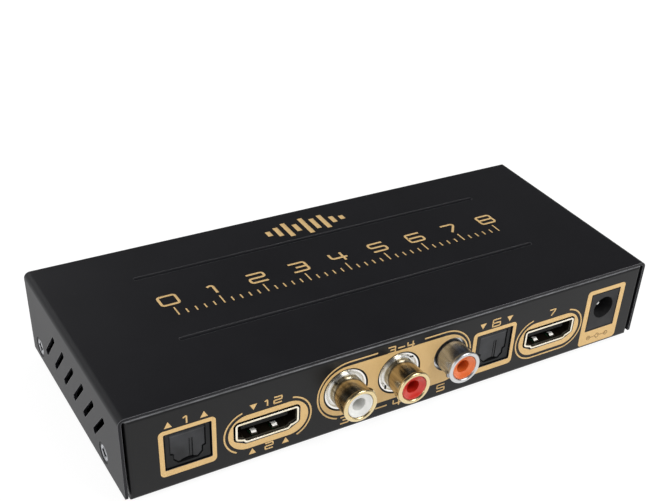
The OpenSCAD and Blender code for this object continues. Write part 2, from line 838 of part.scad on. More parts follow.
// The shell's inner outline, drawn out by a distance
module video_outline(grow) {
  w = video_w/2 - shell_out_r;
  h = video_h - 2*shell_out_r;
  base = video_base_w/2 - shell_out_r/2;
  knee = video_knee_w/2 - shell_out_r;
  side_z = video_h - video_side_h - shell_out_r;
  knee_z = side_z - knee_drop;
  translate([0, video_lift + shell_out_r]) {
    round_polygon([[-knee, knee_z], [knee, knee_z], [w, side_z], [w, h], [-w, h], [-w, side_z]],
      shell_r + grow);
    round_polygon([[-base, 0], [base, 0], [knee - knee_step, knee_z], [knee_step - knee, knee_z]],
      shell_r + grow);
  }
}

// A spring finger on the shell's bottom wall: rooted at its rear, bent up and back down
module shell_finger() {
  y0 = finger_start;
  y1 = finger_start + finger_l;
  mid = y0 + finger_l/4;
  along_x(finger_w) polygon([
    [y1 + finger_slot_gap, -finger_t], [y1 + finger_slot_gap, 0], [y1 - finger_l/4, 0],
    [mid + finger_t, finger_rise], [mid - finger_t, finger_rise], [y0 + finger_t, finger_rise/4],
    [y0 + finger_t, finger_rise/4 - finger_t], [mid, finger_rise - finger_t], [y1 - finger_l/4, -finger_t]
  ]);
}

// Puts its children at the four fingers, with Z pointing into the socket
module at_fingers() {
  for (s = [-1, 1]) {
    translate([s*low_finger_x, 0, video_lift + video_t]) children();
    translate([s*top_finger_x, 0, video_lift + video_h - video_t]) mirror([0, 0, 1]) children();
  }
}

module video_shell() {
  difference() {
    along_y(video_l) difference() {
      video_outline(video_t);
      video_outline(0);
    }
    at_fingers() translate([-finger_w/2 - finger_slot_gap, finger_start, -video_t - cut])
      cube([finger_w + 2*finger_slot_gap, finger_l, video_t + 2*cut]);
  }
  at_fingers() shell_finger();
  for (s = [-1, 1], y = leg_y)
    translate([s*(video_w - video_t)/2 - video_t/2, y - leg_w/2, -board_t - lead_drop])
      cube([video_t, leg_w, board_t + lead_drop + video_lift + video_h - video_side_h + leg_w/2]);
}

module video_core() {
  translate([0, video_l - core_l, 0]) along_y(core_l) video_outline(-snug);
  translate([-tongue_w/2, tongue_recess, video_lift + video_t + tongue_height - tongue_t/2])
    cube([tongue_w, video_l - tongue_recess - core_l/2, tongue_t]);
}

module video_contacts() {
  z = video_lift + video_t + tongue_height;
  for (side = [-1, 1]) {
    count = side < 0 ? 10 : 9;
    for (i = [0:count - 1]) translate([(i - (count - 1)/2)*contact_pitch, 0, 0]) {
      translate([-contact_w/2, 1.5*tongue_recess, z + side*(tongue_t + contact_t)/2 - contact_t/2])
        cube([contact_w, video_l - core_l - 1.5*tongue_recess, contact_t]);
      translate([-tail_w/2, video_l, 0]) {
        cube([tail_w, contact_w, z + side*tongue_t/2]);
        cube([tail_w, 1.5*tongue_recess, contact_w]);
      }
    }
  }
}

module video_out_shell() { color(shell_cream) at_video(video_out_x) video_shell(); }
module video_in_shell() { color(shell_cream) at_video(video_in_x) video_shell(); }
module video_out_core() { color(part_black) at_video(video_out_x) video_core(); }
module video_in_core() { color(part_black) at_video(video_in_x) video_core(); }
module video_out_contacts() { color(brass_gold) at_video(video_out_x) video_contacts(); }
module video_in_contacts() { color(brass_gold) at_video(video_in_x) video_contacts(); }

// Phono jacks. Their children's origin is on the axis, at the front of the housing.
// Each has the height of its axis above the board and its reach from there.
module at_jack(x, axis_h) {
  placed() translate([x, -jack_seat, board_top + axis_h]) children();
}

// The barrel's profile: radius, then the distance in front of the housing
module barrel_profile(dished, reach) {
  r = barrel_d/2;
  flange_r = jack_flange_d/2;
  translate([barrel_bore_r, 0]) square([flange_r - barrel_bore_r, jack_flange_t]);
  translate([barrel_bore_r, 0]) square([barrel_wall, reach - rim_r]);
  if (dished) polygon([
    [flange_r, 0], [flange_r, dish_h], [flange_r - barrel_wall, dish_h],
    [r + barrel_wall/2, dish_h/2], [barrel_bore_r, dish_h/2], [barrel_bore_r, 0]
  ]);
  translate([rim_d/2 - rim_r, reach - rim_r]) circle(rim_r);
}

// A small tongue raised out of the barrel behind its rim, at an angle round the axis
module lance(a, reach) {
  rotate([0, -a, 0]) translate([0, rim_l - reach, 0]) rotate([0, 0, -90])
    translate([0, 0, -lance_w/2]) linear_extrude(height = lance_w) polygon([
      [0, barrel_d/2 - barrel_wall/2], [0, barrel_d/2 + lance_rise],
      [-lance_l/3, barrel_d/2 + lance_rise], [-lance_l, barrel_d/2 - barrel_wall/2]
    ]);
}

module jack_barrel(dished, notch_angles, lance_angle, axis_h, reach) {
  difference() {
    union() {
      turned_out() barrel_profile(dished, reach);
      translate([-ground_leg_w/2, -jack_flange_t, -axis_h - board_t - lead_drop])
        cube([ground_leg_w, jack_flange_t, board_t + lead_drop + axis_h - barrel_d/2]);
      lance(lance_angle, reach);
    }
    for (a = notch_angles) rotate([0, -a, 0])
      translate([(barrel_d + jack_flange_d)/4 - notch_l/2, -dish_h - cut, -notch_w/2])
        cube([notch_l, dish_h + 2*cut, notch_w]);
  }
}

// The insert's dished front is part of a ball that meets the pin's hole funnel_l deep
module jack_insert(reach) {
  front = reach - insert_recess;
  clip_end = clip_l - insert_tail + snug;
  dish_w = insert_d/2 - funnel_rim;
  ball_r = (dish_w*dish_w + funnel_l*funnel_l)/(2*funnel_l);
  turned_out() difference() {
    union() {
      translate([0, -insert_tail]) square([insert_d/2, front + insert_tail]);
      translate([0, reach - rim_l - insert_collar_l - snug])
        square([barrel_bore_r - snug, insert_collar_l]);
      square([barrel_bore_r - snug, insert_collar_l]);
    }
    translate([0, -insert_tail - cut]) square([pin_hole_d/2, front + insert_tail + 2*cut]);
    translate([0, -insert_tail - cut]) square([clip_r + snug, clip_end + insert_tail + cut]);
    intersection() {
      translate([0, front + ball_r - funnel_l]) circle(ball_r, $fn = 3*$fn);
      translate([0, front - funnel_l]) square([ball_r, 2*funnel_l]);
    }
  }
}

// The spring clip that grips a plug's pin, with a tail that runs back and down to the board
module jack_contact(axis_h) {
  difference() {
    turned_out() difference() {
      translate([0, -insert_tail]) square([clip_r, clip_l]);
      translate([0, -insert_tail + clip_wall]) square([clip_r - clip_wall, clip_l]);
    }
    for (a = [0, 90]) rotate([0, a, 0])
      translate([-clip_slot_w/2, insert_tail - clip_l - cut, -clip_r - cut])
        cube([clip_slot_w, clip_l - insert_tail + cut, 2*(clip_r + cut)]);
  }
  translate([-tail_strip_w/2, insert_tail - clip_wall/2, -tail_t/2])
    cube([tail_strip_w, jack_body_l - insert_tail + clip_wall/2 + tail_t, tail_t]);
  translate([-tail_strip_w/2, jack_body_l, -axis_h - board_t - lead_drop])
    cube([tail_strip_w, tail_t, axis_h + board_t + lead_drop + tail_t/2]);
}

// The pocket that an insert and its contact leave in a housing
module jack_pocket() {
  translate([0, -cut, 0]) rod_y(insert_d/2 + snug, insert_tail + cut + snug);
  translate([0, jack_body_l/2, 0])
    cube([tail_strip_w + 2*snug, jack_body_l + 2*cut, tail_t + 2*snug], center = true);
}

// A moulded block on the board, with its upper rear edge cut back
module jack_block(w, axis_h) {
  along_x(w) polygon([
    [0, -axis_h], [jack_body_l, -axis_h], [jack_body_l, 0],
    [2*jack_body_l/3, jack_body_h - axis_h], [0, jack_body_h - axis_h]
  ]);
}

module stereo_jack_housing() {
  color(part_black) at_jack((left_jack_x + right_jack_x)/2, jack_axis_h) difference() {
    jack_block(jack_pitch + 2*jack_body_half_w, jack_axis_h);
    for (s = [-1, 1]) translate([s*jack_pitch/2, 0, 0]) jack_pocket();
    translate([0, jack_body_l/2, jack_body_h - jack_axis_h])
      cube([tail_strip_w, jack_body_l + 2*cut, tail_strip_w], center = true);
  }
}

module coax_jack_housing() {
  color(part_black) at_jack(coax_jack_x, coax_axis_h) difference() {
    jack_block(2*jack_body_half_w, coax_axis_h);
    jack_pocket();
  }
}

module left_jack_barrel() {
  color(brass_gold) at_jack(left_jack_x, jack_axis_h)
    jack_barrel(true, [135, 315], 30, jack_axis_h, jack_reach);
}

module right_jack_barrel() {
  color(brass_gold) at_jack(right_jack_x, jack_axis_h)
    jack_barrel(true, [45, 225], 205, jack_axis_h, jack_reach);
}

module coax_jack_barrel() {
  color(nickel) at_jack(coax_jack_x, coax_axis_h)
    jack_barrel(false, [], 200, coax_axis_h, coax_reach);
}

module left_jack_insert() {
  color(signal_white) at_jack(left_jack_x, jack_axis_h) jack_insert(jack_reach);
}

module right_jack_insert() {
  color(signal_red) at_jack(right_jack_x, jack_axis_h) jack_insert(jack_reach);
}

module coax_jack_insert() {
  color(signal_orange) at_jack(coax_jack_x, coax_axis_h) jack_insert(coax_reach);
}

module left_jack_contact() { color(nickel) at_jack(left_jack_x, jack_axis_h) jack_contact(jack_axis_h); }
module right_jack_contact() { color(nickel) at_jack(right_jack_x, jack_axis_h) jack_contact(jack_axis_h); }
module coax_jack_contact() { color(nickel) at_jack(coax_jack_x, coax_axis_h) jack_contact(coax_axis_h); }

// Power jack. Its children's origin is the middle of the front, at the board.
module at_power() {
  placed() translate([power_jack_x, -panel_front + power_recess, board_top]) children();
}

module power_jack_housing() {
  color(part_black) at_power() difference() {
    union() {
      translate([-power_w/2, 0, 0]) cube([power_w, power_nose_l, power_h]);
      along_y(power_l) {
        translate([-power_w/2, 0]) square([power_w, power_axis_h]);
        translate([0, power_axis_h]) circle(min(power_w/2, power_h - power_axis_h));
      }
    }
    translate([0, -cut, power_axis_h]) rod_y(power_hole_d/2, power_hole_l + cut);
    translate([0, power_hole_l - cut, power_axis_h])
      rod_y(power_pin_root_d/2 + snug, power_l - power_hole_l + 2*cut);
    translate([-power_w/2 - cut, power_leaf_start, power_axis_h - power_leaf_w/2 - snug])
      cube([power_w/2 - power_hole_d/2 + power_leaf_t + cut, power_hole_l - power_leaf_start,
        power_leaf_w + 2*snug]);
  }
}

module power_jack_pin() {
  color(nickel) at_power() translate([0, 0, power_axis_h]) {
    translate([0, power_pin_recess + power_pin_d/2, 0])
      rod_y(power_pin_d/2, power_l - power_pin_recess - power_pin_d/2);
    translate([0, power_hole_l, 0]) rod_y(power_pin_root_d/2, power_l - power_hole_l + power_rivet_l/2);
    translate([0, power_pin_recess + power_pin_d/2, 0]) sphere(r = power_pin_d/2);
    translate([0, power_l, 0]) rod_y(power_rivet_d/2, power_rivet_l);
    translate([-power_tag_w/2, power_l, -power_axis_h - board_t - lead_drop])
      cube([power_tag_w, tail_t, power_axis_h + board_t + lead_drop]);
  }
}

// The leaf beside the hole: it runs forward from its root, bends inwards and goes down to the board
module power_jack_spring() {
  x0 = -power_w/2 - tail_t;
  x1 = -power_hole_d/2 + power_leaf_in;
  y1 = power_hole_l - snug;
  y0 = power_leaf_start + power_leaf_t;
  color(nickel) at_power() {
    translate([0, 0, power_axis_h - power_leaf_w/2]) linear_extrude(height = power_leaf_w) polygon([
      [x0, y1 + power_tag_w/2], [x0, y1 - power_leaf_t],
      [x1 - 2*power_leaf_t, y1 - power_leaf_t], [x1 - power_leaf_t, y0 + power_leaf_w/2],
      [x1 - 2*power_leaf_t, y0], [x1 - power_leaf_t, y0], [x1, y0 + power_leaf_w/2],
      [x1 - power_leaf_t, y1], [x0 + tail_t, y1], [x0 + tail_t, y1 + power_tag_w/2]
    ]);
    translate([x0, y1 - power_tag_w/2, -board_t - lead_drop])
      cube([tail_t, power_tag_w, power_axis_h + board_t + lead_drop]);
  }
}

// Controls. Their children's origin is on the control's axis, at the panel's inner face.
module at_control(x) {
  placed() translate([x, panel_back, control_z]) children();
}

module infrared_window() {
  color(signal_red) at_control(window_x) {
    along_y(sheet_t + window_proud) round_rect(window_w, window_h, window_r);
    translate([0, -window_lip_t, 0]) along_y(window_lip_t)
      round_rect(window_w + 2*window_lip, window_h + 2*window_lip, window_r + window_lip);
  }
}

module infrared_receiver() {
  y = -window_lip_t - receiver_dome_r;
  color(part_black) at_control(window_x) {
    translate([-receiver_w/2, y - receiver_l, -receiver_h/2]) cube([receiver_w, receiver_l, receiver_h]);
    translate([0, y, 0]) sphere(r = receiver_dome_r - snug);
    for (i = [-1, 0, 1])
      translate([i*2*light_lead_pitch - light_lead_w/2, y - receiver_l/2, -control_axis_h])
        cube([light_lead_w, light_lead_w, control_axis_h - receiver_h/2 + light_lead_w]);
  }
}

function light_places() = concat([power_light_x], status_places());
function status_places() = [for (i = [0:status_light_count - 1]) status_light_x - i*status_light_pitch];

// A round light with its collar behind the panel and two leads that bend down to the board
module light() {
  translate([0, -light_body_l, 0]) rod_y(light_d/2, light_body_l + sheet_t + light_proud - light_d/4);
  translate([0, sheet_t + light_proud - light_d/4, 0]) intersection() {
    sphere(r = light_d/2);
    translate([-light_d/2, 0, -light_d/2]) cube([light_d, light_d/4, light_d]);
  }
  translate([0, -light_body_l, 0]) rod_y(light_collar_d/2, light_collar_l);
  for (s = [-1, 1]) translate([s*light_lead_pitch - light_lead_w/2, -light_body_l - light_lead_l, 0]) {
    translate([0, 0, -light_lead_w/2]) cube([light_lead_w, light_lead_l + light_collar_l/2, light_lead_w]);
    translate([0, 0, -control_axis_h]) cube([light_lead_w, light_lead_w, control_axis_h]);
  }
}

module power_light() { color(signal_red) at_control(power_light_x) light(); }
module status_lights() { color(signal_white) for (x = status_places()) at_control(x) light(); }

module button_cap() {
  translate([0, -button_collar_gap - button_collar_l, 0]) rod_y(button_collar_d/2, button_collar_l);
  translate([0, -button_collar_gap - button_collar_l, 0])
    rod_y(button_d/2, button_collar_gap + button_collar_l + sheet_t + 0.75*button_out);
  translate([0, sheet_t + 0.75*button_out, 0]) rotate([-90, 0, 0])
    cylinder(h = button_out/4, d1 = button_d, d2 = button_d - button_out/2);
}

// Distance of the switch body's front behind the panel's inner face
switch_front = button_collar_gap + button_collar_l + switch_gap;

module button_plunger() {
  translate([0, -button_collar_gap - button_collar_l - plunger_l, 0]) rod_y(plunger_d/2, plunger_l);
}

module switch_body() {
  difference() {
    union() {
      translate([-switch_w/2, -switch_front - switch_l, -control_axis_h])
        cube([switch_w, switch_l, switch_h]);
      translate([0, -switch_front, 0]) rod_y(plunger_d/2 + 2*run_gap + bend_relief, bend_relief);
    }
    translate([0, -switch_front - plunger_bore_l, 0])
      rod_y(plunger_d/2 + run_gap, plunger_bore_l + bend_relief + cut);
  }
}

module source_button_cap() { color(part_black) at_control(source_button_x) button_cap(); }
module source_button_plunger() { color(signal_white) at_control(source_button_x) button_plunger(); }
module source_switch_body() { color(nickel) at_control(source_button_x) switch_body(); }
module mode_button_cap() { color(part_black) at_control(mode_button_x) button_cap(); }
module mode_button_plunger() { color(signal_white) at_control(mode_button_x) button_plunger(); }
module mode_switch_body() { color(nickel) at_control(mode_button_x) switch_body(); }

// Slide switch: a box behind the panel whose slot guides the knob's base
slide_room_w = slide_base_w + 2*slide_travel + 2*slide_slot_gap;
slide_room_h = slide_base_h + 2*slide_play;
slide_room_l = slide_base_l + 2*slide_play;
slide_housing_l = slide_room_l + 2*slide_wall;

module slide_switch_housing() {
  w = slide_room_w + 2*slide_wall;
  color(nickel) at_control(slide_switch_x)
    translate([0, -slide_housing_gap - slide_housing_l, 0]) difference() {
      translate([-w/2, 0, -control_axis_h])
        cube([w, slide_housing_l, control_axis_h + slide_room_h/2 + slide_wall]);
      translate([-slide_room_w/2, slide_wall, -slide_room_h/2])
        cube([slide_room_w, slide_room_l, slide_room_h]);
      translate([0, slide_housing_l - slide_wall - cut, 0]) along_y(slide_wall + 2*cut) square([
        slide_knob_w + 2*slide_travel + 2*slide_slot_gap, slide_knob_h + 2*slide_slot_gap
      ], center = true);
    }
}

module slide_switch_knob() {
  y0 = -slide_housing_gap - slide_wall - slide_play;
  color(part_black) at_control(slide_switch_x) difference() {
    union() {
      translate([-slide_base_w/2, y0 - slide_base_l, -slide_base_h/2])
        cube([slide_base_w, slide_base_l, slide_base_h]);
      translate([-slide_knob_w/2, y0 - slide_base_l/2, -slide_knob_h/2])
        cube([slide_knob_w, slide_base_l/2 - y0 + sheet_t + slide_out, slide_knob_h]);
    }
    for (i = [-2, 0, 2]) translate([i*slide_ridge_w, sheet_t + slide_out, 0])
      cube([slide_ridge_w, 2*slide_ridge_w, slide_knob_h + 2*cut], center = true);
  }
}

// Parts on the board
module on_board(shares) {
  placed() translate([shares[0]*board_w, shares[1]*board_d, board_top]) children();
}

// A flat chip with a row of leads on each of its four sides
module chip(w) {
  per_side = floor((w - 2*chip_lead_pitch)/chip_lead_pitch);
  translate([-w/2, -w/2, chip_lift]) cube([w, w, chip_t]);
  for (a = [0:90:270], i = [0:per_side - 1]) rotate(a)
    translate([(i - (per_side - 1)/2)*chip_lead_pitch - chip_lead_t, w/2 - chip_lead_t, 0]) {
      cube([2*chip_lead_t, chip_lead_out + chip_lead_t, chip_lead_t]);
      cube([2*chip_lead_t, 2*chip_lead_t, chip_lift + chip_t/2]);
    }
}

module video_chip() { color(part_black) on_board(video_chip_shares) chip(video_chip_w); }
module audio_chip() { color(part_black) on_board(audio_chip_shares) chip(small_chip_w); }
module control_chip() { color(part_black) on_board(control_chip_shares) chip(small_chip_w); }

module voltage_regulators() {
  color(part_black) on_board(regulator_shares) for (k = [0, 1, 2]) translate([k*regulator_pitch, 0, 0]) {
    translate([-regulator_w/2, -regulator_l/2, chip_lift]) cube([regulator_w, regulator_l, regulator_t]);
    translate([-regulator_tab_w/2, 0, 0])
      cube([regulator_tab_w, regulator_l/2 + regulator_tab_l, 2*chip_lead_t]);
    for (i = [-1, 0, 1])
      translate([2*i*regulator_tab_w/3 - chip_lead_t, -regulator_l/2 - regulator_tab_l, 0])
        cube([2*chip_lead_t, regulator_tab_l + chip_lead_t, 2*chip_lead_t]);
  }
}

module capacitors() {
  color(nickel) for (p = capacitor_shares) on_board(p) {
    translate([-capacitor_d/2, -capacitor_d/2, 0]) cube([capacitor_d, capacitor_d, capacitor_base]);
    cylinder(h = capacitor_h, d = capacitor_d);
  }
}

module power_coil() {
  a = coil_w/2;
  c = coil_w/2 - coil_chamfer;
  color(part_black) on_board(coil_shares) linear_extrude(height = coil_h)
    polygon([[a, -c], [a, c], [c, a], [-c, a], [-a, c], [-a, -c], [-c, -a], [c, -a]]);
}

module clock_crystals() {
  color(nickel) for (p = crystal_shares) on_board(p) linear_extrude(height = crystal_h)
    round_rect(crystal_l, crystal_w, crystal_w/2 - chip_lift);
}

top_cover();
base_tray();
cover_screws();
rubber_feet();
circuit_board();
board_standoffs();
board_screws();
optical_out_housing();
optical_out_door();
optical_out_emitter();
optical_in_housing();
optical_in_door();
optical_in_receiver();
video_out_shell();
video_out_core();
video_out_contacts();
video_in_shell();
video_in_core();
video_in_contacts();
stereo_jack_housing();
left_jack_barrel();
left_jack_insert();
left_jack_contact();
right_jack_barrel();
right_jack_insert();
right_jack_contact();
coax_jack_housing();
coax_jack_barrel();
coax_jack_insert();
coax_jack_contact();
power_jack_housing();
power_jack_pin();
power_jack_spring();
infrared_window();
infrared_receiver();
power_light();
status_lights();
source_button_cap();
source_button_plunger();
source_switch_body();
mode_button_cap();
mode_button_plunger();
mode_switch_body();
slide_switch_housing();
slide_switch_knob();
video_chip();
audio_chip();
control_chip();
voltage_regulators();
capacitors();
power_coil();
clock_crystals();
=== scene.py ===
# Audio extractor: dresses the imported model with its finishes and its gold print, and sets the
# floor, the lights and the camera. Lengths are in millimetres until mm() turns them to metres.
import math

import bmesh
import bpy
from mathutils import Matrix, Vector
from mathutils.geometry import tessellate_polygon


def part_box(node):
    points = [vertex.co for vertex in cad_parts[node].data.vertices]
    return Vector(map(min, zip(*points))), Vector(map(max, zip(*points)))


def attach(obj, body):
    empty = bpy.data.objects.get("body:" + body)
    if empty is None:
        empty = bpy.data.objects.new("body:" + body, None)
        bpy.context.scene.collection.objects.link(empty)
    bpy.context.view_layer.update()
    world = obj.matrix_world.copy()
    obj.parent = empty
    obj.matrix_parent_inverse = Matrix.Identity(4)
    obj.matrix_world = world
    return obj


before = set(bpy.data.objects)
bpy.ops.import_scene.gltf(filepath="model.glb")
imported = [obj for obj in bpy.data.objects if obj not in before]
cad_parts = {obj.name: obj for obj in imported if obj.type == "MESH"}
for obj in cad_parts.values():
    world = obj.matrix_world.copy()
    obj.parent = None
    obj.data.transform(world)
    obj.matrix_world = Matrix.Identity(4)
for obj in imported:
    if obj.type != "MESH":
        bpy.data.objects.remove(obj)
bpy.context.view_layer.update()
MILLIMETRE = 0.001


def mm(*lengths):
    """Millimetres to metres: one number, or a tuple of them."""
    scaled = tuple(length*MILLIMETRE for length in lengths)
    return scaled[0] if len(scaled) == 1 else scaled


def linear(red, green, blue):
    """A colour as a screen shows it, 0 to 255, as the shader wants it."""
    def channel(value):
        share = value/255
        return share/12.92 if share <= 0.04045 else ((share + 0.055)/1.055)**2.4
    return (channel(red), channel(green), channel(blue), 1.0)


# Places that finishes and prints follow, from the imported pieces

def reach(node, side, axis):
    """The lowest (side 0) or highest (side 1) place of a piece along X, Y or Z."""
    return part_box(node)[side]["XYZ".index(axis)]/MILLIMETRE


def middle(node, axis):
    return (reach(node, 0, axis) + reach(node, 1, axis))/2


def span(node, axis):
    return reach(node, 1, axis) - reach(node, 0, axis)


PORT_FACE_Y = reach("base_tray", 0, "Y")
CONTROL_FACE_Y = reach("base_tray", 1, "Y")
UNDERSIDE_Z = reach("base_tray", 0, "Z")
TRAY_TOP_Z = reach("base_tray", 1, "Z")
TOP_Z = reach("top_cover", 1, "Z")
BOARD_Z = reach("circuit_board", 1, "Z")


# Shader building

# Sockets of a Mix node for colours, by number because other kinds share their names
MIX_SHARE, MIX_FIRST, MIX_SECOND, MIX_RESULT = 0, 6, 7, 2


class Wire:
    """The output of a node. Operators on it add Math nodes to the same tree."""

    def __init__(self, nodes, socket):
        self.nodes = nodes
        self.socket = socket

    def math(self, operation, first, second=0.0):
        return self.nodes.node("ShaderNodeMath", {"operation": operation}, {0: first, 1: second})

    def __add__(self, other):
        return self.math("ADD", self, other)

    __radd__ = __add__

    def __sub__(self, other):
        return self.math("SUBTRACT", self, other)

    def __rsub__(self, other):
        return self.math("SUBTRACT", other, self)

    def __mul__(self, other):
        return self.math("MULTIPLY", self, other)

    __rmul__ = __mul__

    def __gt__(self, other):
        return self.math("GREATER_THAN", self, other)

    def __lt__(self, other):
        return self.math("LESS_THAN", self, other)

    def __abs__(self):
        return self.math("ABSOLUTE", self)

    def root(self):
        return self.math("SQRT", self)

    def or_more(self, other):
        """The greater of the two."""
        return self.math("MAXIMUM", self, other)

    def repeated(self, pitch):
        """Distance from the nearest of a row of lines that stand pitch apart."""
        return abs(self.math("PINGPONG", self, pitch/2) - pitch/2)


class Nodes:
    """A node tree that is built one node at a time."""

    def __init__(self, tree):
        self.tree = tree
        tree.nodes.clear()

    def node(self, kind, settings=None, inputs=None, output=0):
        """Adds a node with its settings and inputs, and returns the wire of one output."""
        made = self.tree.nodes.new(kind)
        for name, value in (settings or {}).items():
            setattr(made, name, value)
        for key, value in (inputs or {}).items():
            if isinstance(value, Wire):
                self.tree.links.new(value.socket, made.inputs[key])
            else:
                made.inputs[key].default_value = value
        return Wire(self, made.outputs[output])

    def between(self, value, low, high, out_low=0.0, out_high=1.0):
        """value from low..high to out_low..out_high, held at both ends."""
        return self.node("ShaderNodeMapRange", {"clamp": True}, {
            "Value": value, "From Min": low, "From Max": high,
            "To Min": out_low, "To Max": out_high,
        })

    def mixed(self, share, first, second):
        """The first colour, going over to the second one as share rises to 1."""
        return self.node("ShaderNodeMix", {"data_type": "RGBA"}, {
            MIX_SHARE: share, MIX_FIRST: first, MIX_SECOND: second}, MIX_RESULT)

    def ended(self, kind, last, key="Surface"):
        """Joins the last wire to the tree's output, a node of the given kind."""
        out = self.tree.nodes.new(kind)
        self.tree.links.new(last.socket, out.inputs[key])


class Finish(Nodes):
    """One material of the object, with patterns that follow the piece's own place."""

    def __init__(self, name):
        self.material = bpy.data.materials.new(name)
        self.material.use_nodes = True
        super().__init__(self.material.node_tree)
        self.place = self.node("ShaderNodeTexCoord", output="Object")

    def stretched(self, *scale):
        return self.node("ShaderNodeMapping", {}, {"Vector": self.place, "Scale": scale})

    def along(self, axis):
        """The place along X, Y or Z, in metres."""
        return self.node("ShaderNodeSeparateXYZ", {}, {"Vector": self.place}, axis)

    def noise(self, size, detail=2.0, roughness=0.5, place=None):
        """Soft noise from 0 to 1 whose patches are about size millimetres wide."""
        return self.node("ShaderNodeTexNoise", {"noise_dimensions": "3D"}, {
            "Vector": place or self.place, "Scale": 1/mm(size), "Detail": detail,
            "Roughness": roughness,
        })

    def fine_noise(self, size):
        """Noise with more small detail in its patches."""
        return self.noise(size, detail=3.0, roughness=0.6)

    def draw_lines(self, *scale):
        """Fine marks of drawing or turning, packed closer along an axis by its scale."""
        return self.noise(0.09, roughness=0.6, place=self.stretched(*scale))

    def cells(self, size):
        """Distance from the nearest of the scattered points that stand size millimetres apart."""
        return self.node("ShaderNodeTexVoronoi", {}, {"Vector": self.place, "Scale": 1/mm(size)})

    def soft_edges(self, radius):
        """Normals that turn over every edge as a small fillet does."""
        return self.node("ShaderNodeBevel", {"samples": 6}, {"Radius": mm(radius)})

    def worn_edges(self, rounded):
        """1 on the edges that soft_edges turned, 0 on flat faces."""
        plain = self.node("ShaderNodeNewGeometry", output="Normal")
        facing = self.node("ShaderNodeVectorMath", {"operation": "DOT_PRODUCT"},
                           {0: rounded, 1: plain}, "Value")
        return self.between(1 - facing, 0.02, 0.25)

    def bumped(self, height, depth, normal=None):
        """Normals of a relief that is depth millimetres from its lowest to its highest point."""
        inputs = {"Height": height, "Distance": mm(depth)}
        if normal:
            inputs["Normal"] = normal
        return self.node("ShaderNodeBump", {}, inputs)

    def surface(self, colour, roughness, normal, metallic=0.0, **constants):
        """Ends the tree in a Principled shader, and returns the finished material. constants
        names the shader's other inputs, in lower case and with underscores."""
        inputs = {
            "Base Color": colour, "Roughness": roughness, "Metallic": metallic, "Normal": normal}
        for name, value in constants.items():
            inputs[name.replace("_", " ").title().replace("Ior", "IOR")] = value
        self.ended("ShaderNodeOutputMaterial",
                   self.node("ShaderNodeBsdfPrincipled", {}, inputs))
        return self.material


# Finishes. Their colours are given as a screen shows them, and their lengths in millimetres.

# How far below the tray's top the painted highlight on its bend starts, and where it is at full
# strength
BEND_HIGHLIGHT_START, BEND_HIGHLIGHT_FULL = 0.42, 0.24
# Pale colour on the edges and on the tray's bend: partly edge wear, partly a painted highlight
EDGE_WEAR_AND_HIGHLIGHT = linear(158, 158, 162)
PAINT_SPECK = linear(120, 120, 122)


def powder_paint(name, colour, dusty, roughness, specular, bend_z=None):
    """Fine satin powder paint on sheet metal, paler on its edges as wear and painted highlight, and
    with a painted highlight on the bend below bend_z.
    """
    made = Finish(name)
    grain = made.fine_noise(0.16)
    cloud = made.fine_noise(22.0)
    specks = made.between(made.cells(1.1), 0.05, 0.09, 1.0, 0.0)
    specks = specks*made.between(made.noise(3.0), 0.6, 0.7)
    rounded = made.soft_edges(0.18)
    wear_and_highlight = made.worn_edges(rounded)
    # Painted highlight along the tray's top bend, broken into patches
    if bend_z:
        highlight_patches = made.between(made.fine_noise(3.0), 0.3, 0.6, 0.45, 1.0)
        bend = made.between(made.along("Z"), mm(bend_z - BEND_HIGHLIGHT_START), mm(bend_z - BEND_HIGHLIGHT_FULL))
        wear_and_highlight = wear_and_highlight.or_more(bend*highlight_patches)
    body = made.mixed(made.between(cloud, 0.3, 0.7), linear(*colour), linear(*dusty))
    body = made.mixed(specks*0.35, body, PAINT_SPECK)
    # Edges and bend go over to the pale colour: edge wear and painted highlight
    body = made.mixed(wear_and_highlight*0.9, body, EDGE_WEAR_AND_HIGHLIGHT)
    return made.surface(
        body, roughness + 0.1*grain + 0.06*cloud - 0.08*wear_and_highlight,
        made.bumped(grain, 0.012, rounded), specular_ior_level=specular)


def printed_ink(name, colour, deep):
    """Screen-printed metallic ink: flat, with a fine sparkle."""
    made = Finish(name)
    deep = linear(*deep)
    flake = made.cells(0.12)
    cloud = made.noise(6.0)
    body = made.mixed(made.between(flake, 0.1, 0.7), linear(*colour), deep)
    body = made.mixed(made.between(cloud, 0.35, 0.75)*0.35, body, deep)
    return made.surface(
        body, 0.42 + 0.15*flake, made.bumped(flake, 0.004), metallic=0.15,
        specular_ior_level=0.45)


def plated_metal(name, colour, stained, roughness, drawn=(1.0, 1.0, 1.0)):
    """Plated brass or steel with a little staining. drawn stretches its fine draw lines."""
    made = Finish(name)
    lines = made.draw_lines(*drawn)
    cloud = made.fine_noise(2.6)
    body = made.mixed(made.between(cloud, 0.42, 0.75), linear(*colour), linear(*stained))
    return made.surface(
        body, roughness + 0.08*lines + 0.1*made.between(cloud, 0.4, 0.8),
        made.bumped(lines, 0.0015, made.soft_edges(0.06)), metallic=1.0)


# Length of a barrel's rolled rim, and half the width over which one zone of plate meets the next
RIM_L = 1.04
ZONE_EDGE = 0.1
# Scales of a pattern along X, Y and Z: streaks along Y, and marks round an axis that runs along Y
STREAKED = (1.0, 0.08, 1.0)
TURNED = (1.0, 12.0, 1.0)


